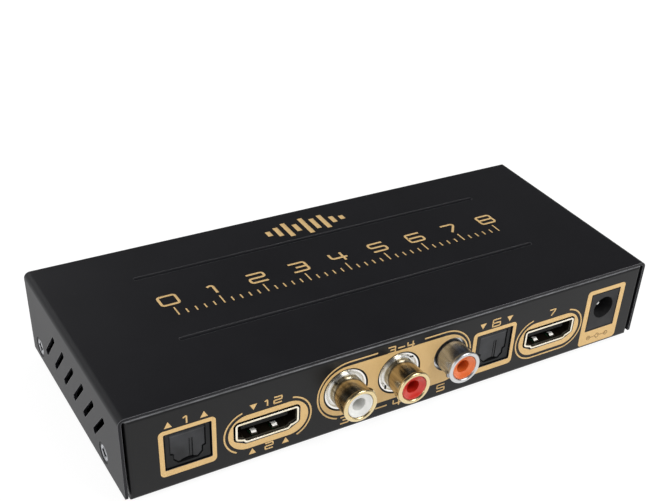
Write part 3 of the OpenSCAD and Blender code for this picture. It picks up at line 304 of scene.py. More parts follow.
def jack_plate(name, barrel, tube, stained, rim, ring, roughness):
    """Plated barrel: streaked along its tube, even on its rolled rim, bright on its flange."""
    made = Finish(name)
    depth = made.along("Y")
    rim_end = reach(barrel, 0, "Y") + RIM_L
    streaks = made.noise(1.1, place=made.stretched(*STREAKED))
    lines = made.draw_lines(*TURNED)
    on_rim = made.between(depth, mm(rim_end - ZONE_EDGE), mm(rim_end + ZONE_EDGE), 1.0, 0.0)
    on_flange = made.between(depth, mm(PORT_FACE_Y - ZONE_EDGE), mm(PORT_FACE_Y + ZONE_EDGE))
    body = made.mixed(made.between(streaks, 0.36, 0.72), linear(*tube), linear(*stained))
    body = made.mixed(on_rim, body, linear(*rim))
    body = made.mixed(on_flange, body, linear(*ring))
    return made.surface(
        body, roughness + 0.08*lines + 0.06*on_rim + 0.04*on_flange,
        made.bumped(lines, 0.0015, made.soft_edges(0.06)), metallic=1.0)


# Shares of a screw head's radius at which its recess ends and its rim starts, each from and to; the
# recess and the rim take painted shade
RECESS_SHARES = (0.3, 0.45)
RIM_SHARES = (0.66, 0.8)


def screw_head_finish():
    """Zinc plate, with a painted highlight between the recess and the rim of each head, and painted
    shade in the recess, on the rim and in patches.
    """
    made = Finish("casing_screw")
    head_r = span("cover_screws", "Z")/2
    apart = span("cover_screws", "Y")/2 - head_r
    along = abs(made.along("Y") - mm(middle("cover_screws", "Y"))) - mm(apart)
    above = made.along("Z") - mm(middle("cover_screws", "Z"))
    radius = (along*along + above*above).root()
    # Painted shade in each head's recess and on its rim, and in patches that leave glints between
    # them
    recess_shade = made.between(radius, *(mm(share*head_r) for share in RECESS_SHARES), 1.0, 0.0)
    rim = made.between(radius, *(mm(share*head_r) for share in RIM_SHARES))
    shade_patches = 0.55*made.between(made.fine_noise(1.2), 0.45, 0.65)
    painted_shade = rim.or_more(recess_shade).or_more(shade_patches)
    # The pale colour is a painted highlight, the dark one painted shade
    body = made.mixed(painted_shade, linear(176, 178, 184), linear(16, 17, 19))
    return made.surface(
        body, 0.2 + 0.4*painted_shade, made.soft_edges(0.06), metallic=1 - 0.8*painted_shade)


# A video shell's zones: how deep its rim is lit, and from what depth its inside takes painted shade
LIT_RIM = 0.35
DARK_FROM = 0.9
# Its walls' outer faces, from its middle and above the board, and how soft that zone's edge is
OUTER_X = 7.3
OUTER_LIFT = 5.85
WALL_EDGE = 0.1
# Its two lower spring fingers: their place, half width and depth, and the heights of their tips,
# which take a painted highlight
FINGER_X = 2.5
FINGER_HALF_W = 0.58
FINGER_DEPTH = 2.9
FINGER_LOW = 1.2
FINGER_HIGH = 2.3


def shell_plate(name, shell):
    """Cream plate on a video shell's rim and finger tips, with a painted highlight on the tips and
    painted shade inside the shell.
    """
    made = Finish(name)
    across = abs(made.along("X") - mm(middle(shell, "X")))
    depth = made.along("Y") - mm(reach(shell, 0, "Y"))
    lift = made.along("Z") - mm(BOARD_Z)
    # Painted highlight on the tips of the two lower spring fingers
    tip_highlight = (abs(across - mm(FINGER_X)) < mm(FINGER_HALF_W))*(depth < mm(FINGER_DEPTH))
    tip_highlight = tip_highlight*(lift > mm(FINGER_LOW))*(lift < mm(FINGER_HIGH))
    outside = (made.between(across, mm(OUTER_X), mm(OUTER_X + WALL_EDGE))
               + made.between(lift, mm(OUTER_LIFT), mm(OUTER_LIFT + WALL_EDGE)))
    # Painted shade inside the shell, behind its lit rim
    inside = made.between(depth, mm(LIT_RIM), mm(DARK_FROM))
    painted_shade = inside*(1 - tip_highlight)*(1 - made.between(outside, 0.0, 1.0))
    cloud = made.fine_noise(2.6)
    body = made.mixed(
        made.between(cloud, 0.42, 0.75), linear(252, 245, 228), linear(240, 226, 190))
    # Dark colour inside is painted shade; the near-white on the finger tips is a painted highlight
    body = made.mixed(painted_shade, body, linear(46, 40, 32))
    body = made.mixed(tip_highlight, body, linear(255, 254, 250))
    return made.surface(
        body, 0.22 + 0.1*cloud + 0.1*painted_shade + 0.15*tip_highlight,
        made.bumped(cloud, 0.002, made.soft_edges(0.06)), metallic=1 - 0.3*painted_shade - 0.6*tip_highlight)


def moulded_plastic(name, colour, pale, roughness, grain_depth=0.006, specular=0.5, coat=0.0,
                    gap_shade_width=0.0):
    """Injection-moulded plastic with spark-eroded grain and softened edges. Where a gap width is
    given,
    every edge has a dark line that wide: painted shade, as falls in the gap round a close fit."""
    made = Finish(name)
    grain = made.fine_noise(0.12)
    cloud = made.noise(5.0)
    rounded = made.soft_edges(0.12)
    pale = linear(*pale)
    body = made.mixed(made.between(cloud, 0.3, 0.75), linear(*colour), pale)
    body = made.mixed(made.worn_edges(rounded)*0.35, body, pale)
    shade = 0.0
    # Painted shade: a near-black line along every edge
    if gap_shade_width:
        shade = made.worn_edges(made.soft_edges(gap_shade_width))*0.95
        body = made.mixed(shade, body, linear(3, 3, 4))
    return made.surface(
        body, roughness + 0.12*grain, made.bumped(grain, grain_depth, rounded), metallic=shade,
        specular_ior_level=specular, coat_weight=coat, coat_roughness=0.1)


def clear_resin(name, colour, deep, transmission):
    """Cast epoxy of a light or a window: glossy, deeper in colour in soft patches."""
    made = Finish(name)
    cloud = made.noise(1.4)
    body = made.mixed(made.between(cloud, 0.3, 0.7), linear(*colour), linear(*deep))
    return made.surface(
        body, 0.1 + 0.05*cloud, made.bumped(made.noise(0.5), 0.003, made.soft_edges(0.1)),
        transmission_weight=transmission, ior=1.5, coat_weight=0.3, coat_roughness=0.05)


# Copper tracks under the solder mask: their pitch, half width, and how far they wander
TRACK_PITCH = 1.3
TRACK_HALF_W = 0.16
TRACK_WANDER = 3.0


def circuit_board_finish():
    """Green solder mask over copper tracks, with bare tinned pads scattered over it."""
    made = Finish("solder_mask_green")
    wander = made.noise(9.0, detail=1.0)*mm(TRACK_WANDER)
    tracks_x, tracks_y = (
        (made.along(axis) + wander).repeated(mm(TRACK_PITCH)) < mm(TRACK_HALF_W) for axis in "XY")
    zone = made.noise(14.0, detail=0.0) > 0.5
    track = zone*tracks_x + (1 - zone)*tracks_y
    pads = made.between(made.cells(3.4), 0.1, 0.12, 1.0, 0.0)
    mask = made.mixed(track*0.6, linear(18, 74, 46), linear(34, 104, 66))
    body = made.mixed(pads, mask, linear(196, 194, 186))
    return made.surface(
        body, 0.3 + 0.08*made.noise(0.4), made.bumped(track + pads, 0.03, made.soft_edges(0.08)),
        metallic=pads*0.9)


def chip_finish(name, lead_h):
    """Black epoxy from lead_h above the board up, and tinned leads under it."""
    made = Finish(name)
    on_body = made.along("Z") > mm(BOARD_Z + lead_h)
    grain = made.fine_noise(0.1)
    colour = made.mixed(on_body, linear(188, 188, 184), linear(40, 40, 43))
    return made.surface(
        colour, 0.3 + 0.25*on_body + 0.1*grain, made.bumped(grain, 0.01, made.soft_edges(0.08)),
        metallic=1 - on_body)


def rubber_finish():
    """Matt rubber with a fine pressed grain and a little dust."""
    made = Finish("foot_rubber")
    grain = made.cells(0.35)
    dust = made.between(made.noise(2.2, detail=4.0, roughness=0.7), 0.5, 0.8)
    colour = made.mixed(dust*0.35, linear(30, 30, 31), linear(74, 73, 70))
    return made.surface(
        colour, 0.85 - 0.08*grain, made.bumped(grain, 0.03, made.soft_edges(0.25)),
        specular_ior_level=0.3)


# Every other finish by its name, with what its maker is told
PAINTS = {
    "cover_paint": dict(colour=(21, 21, 25), dusty=(25, 25, 29), roughness=0.4, specular=0.26),
    "panel_paint": dict(colour=(19, 19, 20), dusty=(23, 23, 24), roughness=0.3, specular=0.25,
                        bend_z=TRAY_TOP_Z),
}
INKS = {
    "port_ink": dict(colour=(238, 204, 146), deep=(222, 184, 122)),
    "band_mark": dict(colour=(168, 136, 84), deep=(140, 108, 62)),
}
BARREL_PLATES = {
    "gold_plate": dict(barrel="left_jack_barrel", tube=(220, 210, 186), stained=(132, 120, 100),
                       rim=(228, 208, 162), ring=(240, 239, 236), roughness=0.17),
    "coax_plate": dict(barrel="coax_jack_barrel", tube=(206, 214, 230), stained=(132, 138, 152),
                       rim=(210, 211, 212), ring=(210, 211, 212), roughness=0.24),
}
SHELL_PLATES = {
    "video_out_plate": dict(shell="video_out_shell"),
    "video_in_plate": dict(shell="video_in_shell"),
}
METALS = {
    "nickel_plate": dict(colour=(214, 212, 206), stained=(186, 182, 172), roughness=0.18,
                         drawn=TURNED),
    "bright_screw": dict(colour=(214, 214, 212), stained=(170, 170, 168), roughness=0.2),
    "contact_gold": dict(colour=(238, 200, 118), stained=(220, 176, 96), roughness=0.2),
    "turned_brass": dict(colour=(222, 204, 150), stained=(196, 172, 118), roughness=0.26),
    "tinned_steel": dict(colour=(196, 196, 194), stained=(164, 164, 160), roughness=0.34),
    "drawn_can": dict(colour=(206, 206, 208), stained=(184, 184, 188), roughness=0.28,
                      drawn=(1.0, 1.0, 14.0)),
}
PLASTICS = {
    "housing_black": dict(colour=(22, 23, 24), pale=(36, 37, 39), roughness=0.36, specular=0.2,
                          gap_shade_width=0.3),
    "shutter_black": dict(colour=(30, 31, 33), pale=(58, 59, 62), roughness=0.26, specular=0.28,
                          gap_shade_width=0.34),
    "power_jack_black": dict(colour=(32, 32, 33), pale=(50, 50, 52), roughness=0.4,
                             specular=0.22, gap_shade_width=0.2),
    "jack_block_black": dict(colour=(30, 30, 31), pale=(42, 42, 44), roughness=0.5),
    "core_black": dict(colour=(9, 9, 10), pale=(14, 14, 15), roughness=0.5, specular=0.25),
    "cap_black": dict(colour=(34, 34, 36), pale=(48, 48, 50), roughness=0.36),
    "plunger_white": dict(colour=(214, 212, 206), pale=(232, 230, 226), roughness=0.4),
    "insert_white": dict(colour=(228, 228, 224), pale=(246, 246, 243), roughness=0.22,
                         grain_depth=0.002, coat=0.3),
    "insert_red": dict(colour=(190, 30, 20), pale=(214, 52, 38), roughness=0.2,
                       grain_depth=0.002, coat=0.35),
    "insert_orange": dict(colour=(224, 98, 38), pale=(238, 128, 60), roughness=0.22,
                          grain_depth=0.002, coat=0.3),
    "ferrite": dict(colour=(52, 52, 56), pale=(74, 74, 78), roughness=0.55, grain_depth=0.02),
}
RESINS = {
    "light_red": dict(colour=(198, 30, 26), deep=(140, 12, 12), transmission=0.25),
    "light_clear": dict(colour=(226, 230, 234), deep=(200, 206, 214), transmission=0.5),
    "window_red": dict(colour=(40, 6, 10), deep=(24, 3, 6), transmission=0.1),
    "receiver_resin": dict(colour=(34, 32, 38), deep=(24, 22, 28), transmission=0.0),
}
CHIPS = {
    "chip_black": dict(lead_h=0.3),
    "regulator_black": dict(lead_h=0.45),
}

finishes = {
    "casing_screw": screw_head_finish(),
    "board_green": circuit_board_finish(),
    "foot_rubber": rubber_finish(),
}
for maker, table in (
        (powder_paint, PAINTS), (printed_ink, INKS), (jack_plate, BARREL_PLATES),
        (shell_plate, SHELL_PLATES), (plated_metal, METALS), (moulded_plastic, PLASTICS),
        (clear_resin, RESINS), (chip_finish, CHIPS)):
    for finish_name, settings in table.items():
        finishes[finish_name] = maker(finish_name, **settings)

NODE_FINISHES = {
    "top_cover": "cover_paint", "base_tray": "panel_paint", "cover_screws": "casing_screw",
    "rubber_feet": "foot_rubber", "circuit_board": "board_green",
    "board_standoffs": "turned_brass", "board_screws": "bright_screw",
    "optical_out_housing": "housing_black", "optical_in_housing": "housing_black",
    "optical_out_door": "shutter_black", "optical_in_door": "shutter_black",
    "optical_out_emitter": "light_red", "optical_in_receiver": "receiver_resin",
    "video_out_shell": "video_out_plate", "video_in_shell": "video_in_plate",
    "video_out_core": "core_black", "video_in_core": "core_black",
    "video_out_contacts": "contact_gold", "video_in_contacts": "contact_gold",
    "stereo_jack_housing": "jack_block_black", "coax_jack_housing": "jack_block_black",
    "left_jack_barrel": "gold_plate", "right_jack_barrel": "gold_plate",
    "coax_jack_barrel": "coax_plate",
    "left_jack_insert": "insert_white", "right_jack_insert": "insert_red",
    "coax_jack_insert": "insert_orange",
    "left_jack_contact": "nickel_plate", "right_jack_contact": "nickel_plate",
    "coax_jack_contact": "nickel_plate",
    "power_jack_housing": "power_jack_black", "power_jack_pin": "bright_screw",
    "power_jack_spring": "bright_screw",
    "infrared_window": "window_red", "infrared_receiver": "receiver_resin",
    "power_light": "light_red", "status_lights": "light_clear",
    "source_button_cap": "cap_black", "mode_button_cap": "cap_black",
    "source_button_plunger": "plunger_white", "mode_button_plunger": "plunger_white",
    "source_switch_body": "tinned_steel", "mode_switch_body": "tinned_steel",
    "slide_switch_housing": "tinned_steel", "slide_switch_knob": "cap_black",
    "video_chip": "chip_black", "audio_chip": "chip_black", "control_chip": "chip_black",
    "voltage_regulators": "regulator_black", "capacitors": "drawn_can",
    "power_coil": "ferrite", "clock_crystals": "drawn_can",
}
for node_name, finish_name in NODE_FINISHES.items():
    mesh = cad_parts[node_name].data
    mesh.materials.clear()
    mesh.materials.append(finishes[finish_name])


# Printed bands, lines and figures. A print is drawn flat, u to the right and v up as its face is
# looked at, in millimetres, and then laid on its face.

# Thickness of a field of ink and of a line
INK_T = 0.03
LINE_T = 0.036
# Each line lies a step above the one before it, over a few levels, so that crossings don't flicker
LINE_STEP = 0.002
LINE_LEVELS = 6
# Ends that stand closer than this close a path
CLOSED_GAP = 1e-6
# Steps in a line's rounded corner, in a small ring and in each corner of a band
CORNER_STEPS = 4
SMALL_RING_STEPS = 24
BAND_STEPS = 14


def rounded_box(u, v, width, height, radius, steps=8):
    """Corner points, anticlockwise, of a box about (u, v) with round corners."""
    reach_u, reach_v = width/2 - radius, height/2 - radius
    points = []
    for corner, (a, b) in enumerate(((1, 1), (-1, 1), (-1, -1), (1, -1))):
        for step in range(steps + 1):
            turn = math.radians(90*(corner + step/steps))
            points.append((u + a*reach_u + radius*math.cos(turn),
                           v + b*reach_v + radius*math.sin(turn)))
    return points


def arc(u, v, radius, start, end, steps=20):
    """Points on a circle about (u, v), from one angle to another, in degrees."""
    turns = [math.radians(start + (end - start)*i/steps) for i in range(steps + 1)]
    return [(u + radius*math.cos(t), v + radius*math.sin(t)) for t in turns]


def circle(u, v, radius, steps=40):
    """A closed circle, which ends where it starts."""
    return arc(u, v, radius, 0, 360, steps)


def grown(corners, radius, steps=8):
    """The outline at a distance radius outside corners that run anticlockwise."""
    points, count = [], len(corners)
    for i, corner in enumerate(corners):
        turns = []
        for a, b in ((corners[i - 1], corner), (corner, corners[(i + 1) % count])):
            turns.append(math.atan2(a[0] - b[0], b[1] - a[1]))
        bend = (turns[1] - turns[0]) % math.tau
        for step in range(steps + 1):
            t = turns[0] + bend*step/steps
            points.append((corner[0] + radius*math.cos(t), corner[1] + radius*math.sin(t)))
    return points


def printed_line_tree():
    """Sweeps a flat strip along the edges of a mesh, with its corners rounded."""
    group = bpy.data.node_groups.new("printed_line", "GeometryNodeTree")
    keys = {}
    for name, kind in (("Geometry", "Geometry"), ("Width", "Float"), ("Thickness", "Float"),
                       ("Corner", "Float"), ("Ink", "Material")):
        keys[name] = group.interface.new_socket(
            name, in_out="INPUT", socket_type="NodeSocket" + kind).identifier
    group.interface.new_socket("Geometry", in_out="OUTPUT", socket_type="NodeSocketGeometry")
    tree = Nodes(group)
    given = {name: tree.node("NodeGroupInput", output=name) for name in keys}
    path = tree.node("GeometryNodeMeshToCurve", {}, {"Mesh": given["Geometry"]})
    path = tree.node("GeometryNodeSetCurveNormal", {"mode": "Z_UP"}, {"Curve": path})
    path = tree.node("GeometryNodeFilletCurve", {"mode": "POLY"}, {
        "Curve": path, "Count": CORNER_STEPS, "Radius": given["Corner"], "Limit Radius": True})
    strip = tree.node("GeometryNodeCurvePrimitiveQuadrilateral", {}, {
        "Width": given["Width"], "Height": given["Thickness"]})
    swept = tree.node("GeometryNodeCurveToMesh", {}, {
        "Curve": path, "Profile Curve": strip, "Fill Caps": True})
    real = tree.node("GeometryNodeRealizeInstances", {}, {"Geometry": swept})
    inked = tree.node("GeometryNodeSetMaterial", {}, {
        "Geometry": real, "Material": given["Ink"]})
    tree.ended("NodeGroupOutput", inked, "Geometry")
    return group, keys


line_tree, line_inputs = printed_line_tree()


def plain_mesh(piece):
    """The piece's mesh with its modifiers applied; the piece itself is removed."""
    bpy.context.scene.collection.objects.link(piece)
    shape = piece.evaluated_get(bpy.context.evaluated_depsgraph_get())
    made = bpy.data.meshes.new_from_object(shape)
    bpy.data.objects.remove(piece)
    return made


def printed_lines(paths, width, corner=0.0, ink="port_ink", lift=0.0):
    """Flat strips of ink along open paths, and along closed ones that end where they start."""
    net = bpy.data.meshes.new("line_paths")
    points, edges = [], []
    for number, path in enumerate(paths):
        closed = math.dist(path[0], path[-1]) < CLOSED_GAP
        kept = path[:-1] if closed else path
        first = len(points)
        height = mm(LINE_T/2 + lift + LINE_STEP*(number % LINE_LEVELS))
        points += [(*mm(u, v), height) for u, v in kept]
        edges += [(first + i, first + i + 1) for i in range(len(kept) - 1)]
        if closed:
            edges.append((first + len(kept) - 1, first))
    net.from_pydata(points, edges, [])
    piece = bpy.data.objects.new("line_paths", net)
    sweep = piece.modifiers.new("sweep", "NODES")
    sweep.node_group = line_tree
    for name, value in (("Width", mm(width)), ("Thickness", mm(LINE_T)), ("Corner", mm(corner)),
                        ("Ink", finishes[ink])):
        sweep[line_inputs[name]] = value
    return plain_mesh(piece)


def printed_field(outline, holes=()):
    """A flat field of gold ink inside an outline, with the holes left out."""
    loops = [outline] + list(holes)
    faces = tessellate_polygon([[Vector((u, v, 0)) for u, v in loop] for loop in loops])
    sheet = bmesh.new()
    corners = [sheet.verts.new((*mm(u, v), 0)) for loop in loops for u, v in loop]
    for face in faces:
        if len(set(face)) == 3:
            sheet.faces.new([corners[i] for i in face])
    bmesh.ops.recalc_face_normals(sheet, faces=sheet.faces)
    for face in sheet.faces:
        if face.normal.z < 0:
            face.normal_flip()
    top = bmesh.ops.extrude_face_region(sheet, geom=list(sheet.faces))
    bmesh.ops.translate(sheet, vec=(0, 0, mm(INK_T)),
                        verts=[e for e in top["geom"] if isinstance(e, bmesh.types.BMVert)])
    bmesh.ops.recalc_face_normals(sheet, faces=sheet.faces)
    made = bpy.data.meshes.new("ink_field")
    sheet.to_mesh(made)
    sheet.free()
    made.materials.append(finishes["port_ink"])
    return made


def printed_piece(name, shapes, to_face):
    """Joins prints into one piece, lays it on a face of the casing and rides it there."""
    joined, inks = bmesh.new(), []
    for shape in shapes:
        ink = shape.materials[0]
        if ink not in inks:
            inks.append(ink)
        first = len(joined.faces)
        joined.from_mesh(shape)
        joined.faces.ensure_lookup_table()
        for face in joined.faces[first:]:
            face.material_index = inks.index(ink)
        bpy.data.meshes.remove(shape)
    joined.transform(to_face)
    made = bpy.data.meshes.new(name)
    joined.to_mesh(made)
    joined.free()
    for ink in inks:
        made.materials.append(ink)
    piece = bpy.data.objects.new(name, made)
    bpy.context.scene.collection.objects.link(piece)
    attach(piece, "casing")
    return piece


def laid(right, up, out, origin):
    """Lays a print down: u along right, v along up and its thickness along out, from origin."""
    return Matrix.Translation(mm(*origin)) @ Matrix((right, up, out)).transposed().to_4x4()


ON_PORTS = laid((1, 0, 0), (0, 0, 1), (0, -1, 0), (0, PORT_FACE_Y, UNDERSIDE_Z))
ON_CONTROLS = laid((-1, 0, 0), (0, 0, 1), (0, 1, 0), (0, CONTROL_FACE_Y, UNDERSIDE_Z))
ON_TOP = laid((1, 0, 0), (0, 1, 0), (0, 0, 1), (0, middle("top_cover", "Y"), TOP_Z))

# Figures and small marks, drawn as strokes in a box one wide and one high
FIGURES = {
    "0": [[(0, .5), (0, 0), (1, 0), (1, 1), (0, 1), (0, .5)]],
    "1": [[(.2, .8), (.55, 1), (.55, 0)]],
    "2": [[(0, 1), (1, 1), (1, .5), (0, .5), (0, 0), (1, 0)]],
    "3": [[(0, 1), (1, 1), (1, 0), (0, 0)], [(.3, .5), (1, .5)]],
    "4": [[(0, 1), (0, .4), (1, .4)], [(.75, 1), (.75, 0)]],
    "5": [[(1, 1), (0, 1), (0, .5), (1, .5), (1, 0), (0, 0)]],
    "6": [[(1, 1), (0, 1), (0, 0), (1, 0), (1, .5), (0, .5)]],
    "7": [[(0, 1), (1, 1), (.35, 0)]],
    "8": [[(0, .5), (0, 1), (1, 1), (1, .5), (0, .5)], [(0, .5), (0, 0), (1, 0), (1, .5)]],
    "-": [[(0, .5), (1, .5)]],
}
# Shares of a figure's height: its width, a narrow one's width, and the space after it
FIGURE_W_SHARE = 1.15
NARROW_W_SHARE = 0.8
FIGURE_SPACE_SHARE = 0.45
# Width and corner radius of a small figure's line, and a pointer's size
NUMBER_LINE = 0.36
NUMBER_CORNER = 0.14
POINTER_W = 1.7
POINTER_H = 1.5


def figures(text, u, v, height, width_share=FIGURE_W_SHARE):
    """Strokes of a line of figures centred on u, with its lower edge at v."""
    width, space = height*width_share, height*FIGURE_SPACE_SHARE
    start = u - (len(text)*(width + space) - space)/2
    strokes = []
    for i, sign in enumerate(text):
        left = start + i*(width + space)
        strokes += [[(left + a*width, v + b*height) for a, b in stroke]
                    for stroke in FIGURES[sign]]
    return strokes


def pointer(u, v, upward):
    """A small solid triangle with its flat side at v."""
    left, right = (u - POINTER_W/2, v), (u + POINTER_W/2, v)
    if upward:
        return printed_field([left, right, (u, v + POINTER_H)])
    return printed_field([(u, v - POINTER_H), right, left])


# Places and sizes of the port print. v is the height above the casing's underside, and a lift
# is a height above the circuit board.
BOARD_V = BOARD_Z - UNDERSIDE_Z
OPTICAL_X = [middle(name + "_housing", "X") for name in ("optical_out", "optical_in")]
VIDEO_X = [middle(name + "_shell", "X") for name in ("video_out", "video_in")]
JACK_X = [middle(name + "_jack_barrel", "X") for name in ("left", "right", "coax")]
POWER_X = middle("power_jack_pin", "X")

# Gap that the ink leaves round a socket, corner radius of a square opening, and width of the lines
EDGE = 0.04
OPENING_R = 0.3
RING_LINE = 0.38
# The optical sockets: frame as width, height and corner radius, its place, and the socket's mouth
OPTICAL_FRAME = (12.56, 12.16, 1.1)
OPTICAL_FRAME_V = 9.6
OPTICAL_FRAME_SHIFT = -0.05
OPTICAL_W = 10.5
OPTICAL_H = 9.6
OPTICAL_LIFT = 4.5
# The power jack: frame as width, height and corner radius, its height, and the housing
POWER_FRAME = (12.26, 16.6, 1.0)
POWER_FRAME_V = 9.22
POWER_W = 9.3
POWER_H = 11.2
POWER_LIFT = 5.35
# A video shell's outline: its corner radius, and the widths and lifts of its corners' middles
SHELL_R = 1.2
SHELL_FLOOR_W = 9.5
SHELL_W = 13.4
SHELL_FLOOR_LIFT = 1.25
SHELL_KNEE_LIFT = 2.3
SHELL_ROOF_LIFT = 5.25
# The bands round the video shells: height of their middle line, height, and each one's middle and
# width
BAND_V = 8.5
BAND_H = 9.24
OUT_BAND = (VIDEO_X[0] + 0.35, 19.0)
IN_BAND = (VIDEO_X[1] + 0.1, 18.7)
# The rings round the bands: radius, half the distance between the middles of a ring's two ends,
# and the angles from and to which its left and its right end are drawn
RING_R = 5.65
RING_RUN = 4.65
OUT_RING_SHIFT = -0.1
OUT_RING_TURNS = ((104.6, 239), (-67, 78.5))
IN_RING_TURNS = ((-90, -259), (81, -90))
# The field behind the phono jacks, and the middles of its round ends
FIELD_V = 11.15
FIELD_R = 6.68
FIELD_ENDS = (-17.51, 8.7)
# The line round the field: the middles of its round ends, the places where it stops at the top,
# and the angles where its ends stop
OUTLINE_R = 7.7
OUTLINE_ENDS = (-17.0, 8.3)
OUTLINE_STOPS = (-9.84, 2.52)
OUTLINE_TURNS = (250.4, 6)
# The holes in the field, and the dash between two numbers
JACK_LIFTS = (6.1, 6.1, 6.7)
JACK_HOLES_R = (5.625, 5.625, 4.5)
DASH_V = 3.02
DASH_FROM = -9.44
DASH_TO = -6.35
# Port numbers: text, middle, foot and height
PORT_NUMBERS = (
    ("1", OPTICAL_X[0] - 0.2, 16.15, 1.9), ("6", OPTICAL_X[1] - 0.1, 16.2, 1.9),
    ("12", VIDEO_X[0] + 1.2, 13.95, 1.6), ("2", VIDEO_X[0] + 0.4, 1.95, 1.6),
    ("7", VIDEO_X[1] + 0.05, 14.05, 1.7), ("3", JACK_X[0], 1.95, 1.8),
    ("4", JACK_X[1] + 0.1, 1.95, 1.8), ("3-4", JACK_X[1], 17.75, 1.6),
    ("5", JACK_X[2] - 1.65, 1.95, 1.8),
)
# Pairs of pointers beside a number: middle, half their distance, flat side, and if they point up
POINTER_PAIRS = (
    (OPTICAL_X[0] - 0.2, 3.9, 16.3, True), (OPTICAL_X[1] - 0.1, 3.9, 17.9, False),
    (VIDEO_X[0] + 0.4, 4.0, 2.0, True),
)
LONE_POINTER = (VIDEO_X[0] - 3.24, 15.5, False)
# The polarity mark: its place and its line
POLARITY_SHIFT = -0.1
POLARITY_V = 2.9
POLARITY_LINE = 0.16
# Its cup, half the angle of the cup's opening, and where the pin in it starts
CUP_R = 0.62
CUP_GAP = 25
PIN_START = 0.1
# Its two ringed signs: how far out they stand, half a sign's stroke, and where the links to them end
SIGN_R = 0.55
SIGN_REACH = 2.9
SIGN_HALF = 0.25
LINK_END = 2.2


def opening(u, lift, width, height):
    """The edge of the ink round a square socket whose middle is at a lift."""
    return rounded_box(u, BOARD_V + lift, width + 2*EDGE, height + 2*EDGE, OPENING_R)


def optical_frame(u):
    return printed_field(
        rounded_box(u + OPTICAL_FRAME_SHIFT, OPTICAL_FRAME_V, *OPTICAL_FRAME),
        [opening(u, OPTICAL_LIFT, OPTICAL_W, OPTICAL_H)])


def power_frame():
    """The power jack's frame, with its wide lower band."""
    return printed_field(rounded_box(POWER_X, POWER_FRAME_V, *POWER_FRAME),
                         [opening(POWER_X, POWER_LIFT, POWER_W, POWER_H)])


def video_band(u, band_u, band_w):
    """A band round a video socket, cut out along the shell's own outline."""
    floor, knee, roof = (
        BOARD_V + lift for lift in (SHELL_FLOOR_LIFT, SHELL_KNEE_LIFT, SHELL_ROOF_LIFT))
    foot, side = SHELL_FLOOR_W/2, SHELL_W/2
    shell = [(-foot, floor), (foot, floor), (side, knee), (side, roof), (-side, roof),
             (-side, knee)]
    cut_out = grown([(u + across, v) for across, v in shell], SHELL_R + EDGE)
    return printed_field(rounded_box(band_u, BAND_V, band_w, BAND_H, BAND_H/2, BAND_STEPS),
                         [cut_out])


def video_rings():
    """Lines outside the bands, open where the port numbers stand."""
    out_u, in_u = OUT_BAND[0] + OUT_RING_SHIFT, IN_BAND[0]
    return [
        arc(out_u - RING_RUN, BAND_V, RING_R, *OUT_RING_TURNS[0]),
        arc(out_u + RING_RUN, BAND_V, RING_R, *OUT_RING_TURNS[1]),
        arc(in_u + RING_RUN, BAND_V, RING_R, *IN_RING_TURNS[1])
        + arc(in_u - RING_RUN, BAND_V, RING_R, *IN_RING_TURNS[0]),
    ]


def jack_field():
    """The field behind the phono jacks, with a hole for each of them."""
    outline = (arc(FIELD_ENDS[1], FIELD_V, FIELD_R, -90, 90)
               + arc(FIELD_ENDS[0], FIELD_V, FIELD_R, 90, 270))
    holes = [circle(u, BOARD_V + lift, hole_r + EDGE)[:-1]
             for u, lift, hole_r in zip(JACK_X, JACK_LIFTS, JACK_HOLES_R)]
    return printed_field(outline, holes)


def jack_lines():
    """The line that follows the field, open at its top, and a dash between two numbers."""
    top = FIELD_V + OUTLINE_R
    return [
        [(OUTLINE_STOPS[0], top)]
        + arc(OUTLINE_ENDS[0], FIELD_V, OUTLINE_R, 90, OUTLINE_TURNS[0]),
        [(OUTLINE_STOPS[1], top)]
        + arc(OUTLINE_ENDS[1], FIELD_V, OUTLINE_R, 90, OUTLINE_TURNS[1]),
        [(DASH_FROM, DASH_V), (DASH_TO, DASH_V)],
    ]


def polarity_mark():
    """Pin-positive sign, printed dark on the power jack's band."""
    u, v = POWER_X + POLARITY_SHIFT, POLARITY_V
    left, right = u - SIGN_REACH, u + SIGN_REACH
    strokes = [
        arc(u, v, CUP_R, CUP_GAP, 360 - CUP_GAP, SMALL_RING_STEPS),
        [(u + PIN_START, v), (u + LINK_END, v)],
        [(u - CUP_R, v), (u - LINK_END, v)],
        [(left, v - SIGN_HALF), (left, v + SIGN_HALF)],
    ]
    for sign_u in (left, right):
        strokes.append(circle(sign_u, v, SIGN_R, SMALL_RING_STEPS))
        strokes.append([(sign_u - SIGN_HALF, v), (sign_u + SIGN_HALF, v)])
    return printed_lines(strokes, POLARITY_LINE, ink="band_mark", lift=INK_T)


def port_print():
    """All the shapes on the port face."""
    shapes = [optical_frame(u) for u in OPTICAL_X]
    shapes += [video_band(u, *band) for u, band in zip(VIDEO_X, (OUT_BAND, IN_BAND))]
    shapes += [jack_field(), power_frame(), printed_lines(video_rings() + jack_lines(), RING_LINE)]
    strokes = []
    for number in PORT_NUMBERS:
        strokes += figures(*number)
    shapes.append(printed_lines(strokes, NUMBER_LINE, NUMBER_CORNER))
    for u, apart, v, upward in POINTER_PAIRS:
        shapes += [pointer(u - apart, v, upward), pointer(u + apart, v, upward)]
    return shapes + [pointer(*LONE_POINTER), polarity_mark()]


# The scale on the top: its first figure's place, the step to the next one, how many there are,
# and the ticks in a step
SCALE_U = -44.0
SCALE_STEP = 11.0
SCALE_FIGURES = 9
TICKS_PER_STEP = 5
# Its ticks' ends and width, and its figures' foot, height, line and corner radius
TICK_FOOT = -1.2
LONG_TICK_TOP = 2.0
SHORT_TICK_TOP = 0.4
TICK_LINE = 0.34
SCALE_FIGURE_V = 3.3
SCALE_FIGURE_H = 3.6
SCALE_FIGURE_LINE = 0.62
SCALE_FIGURE_CORNER = 0.6
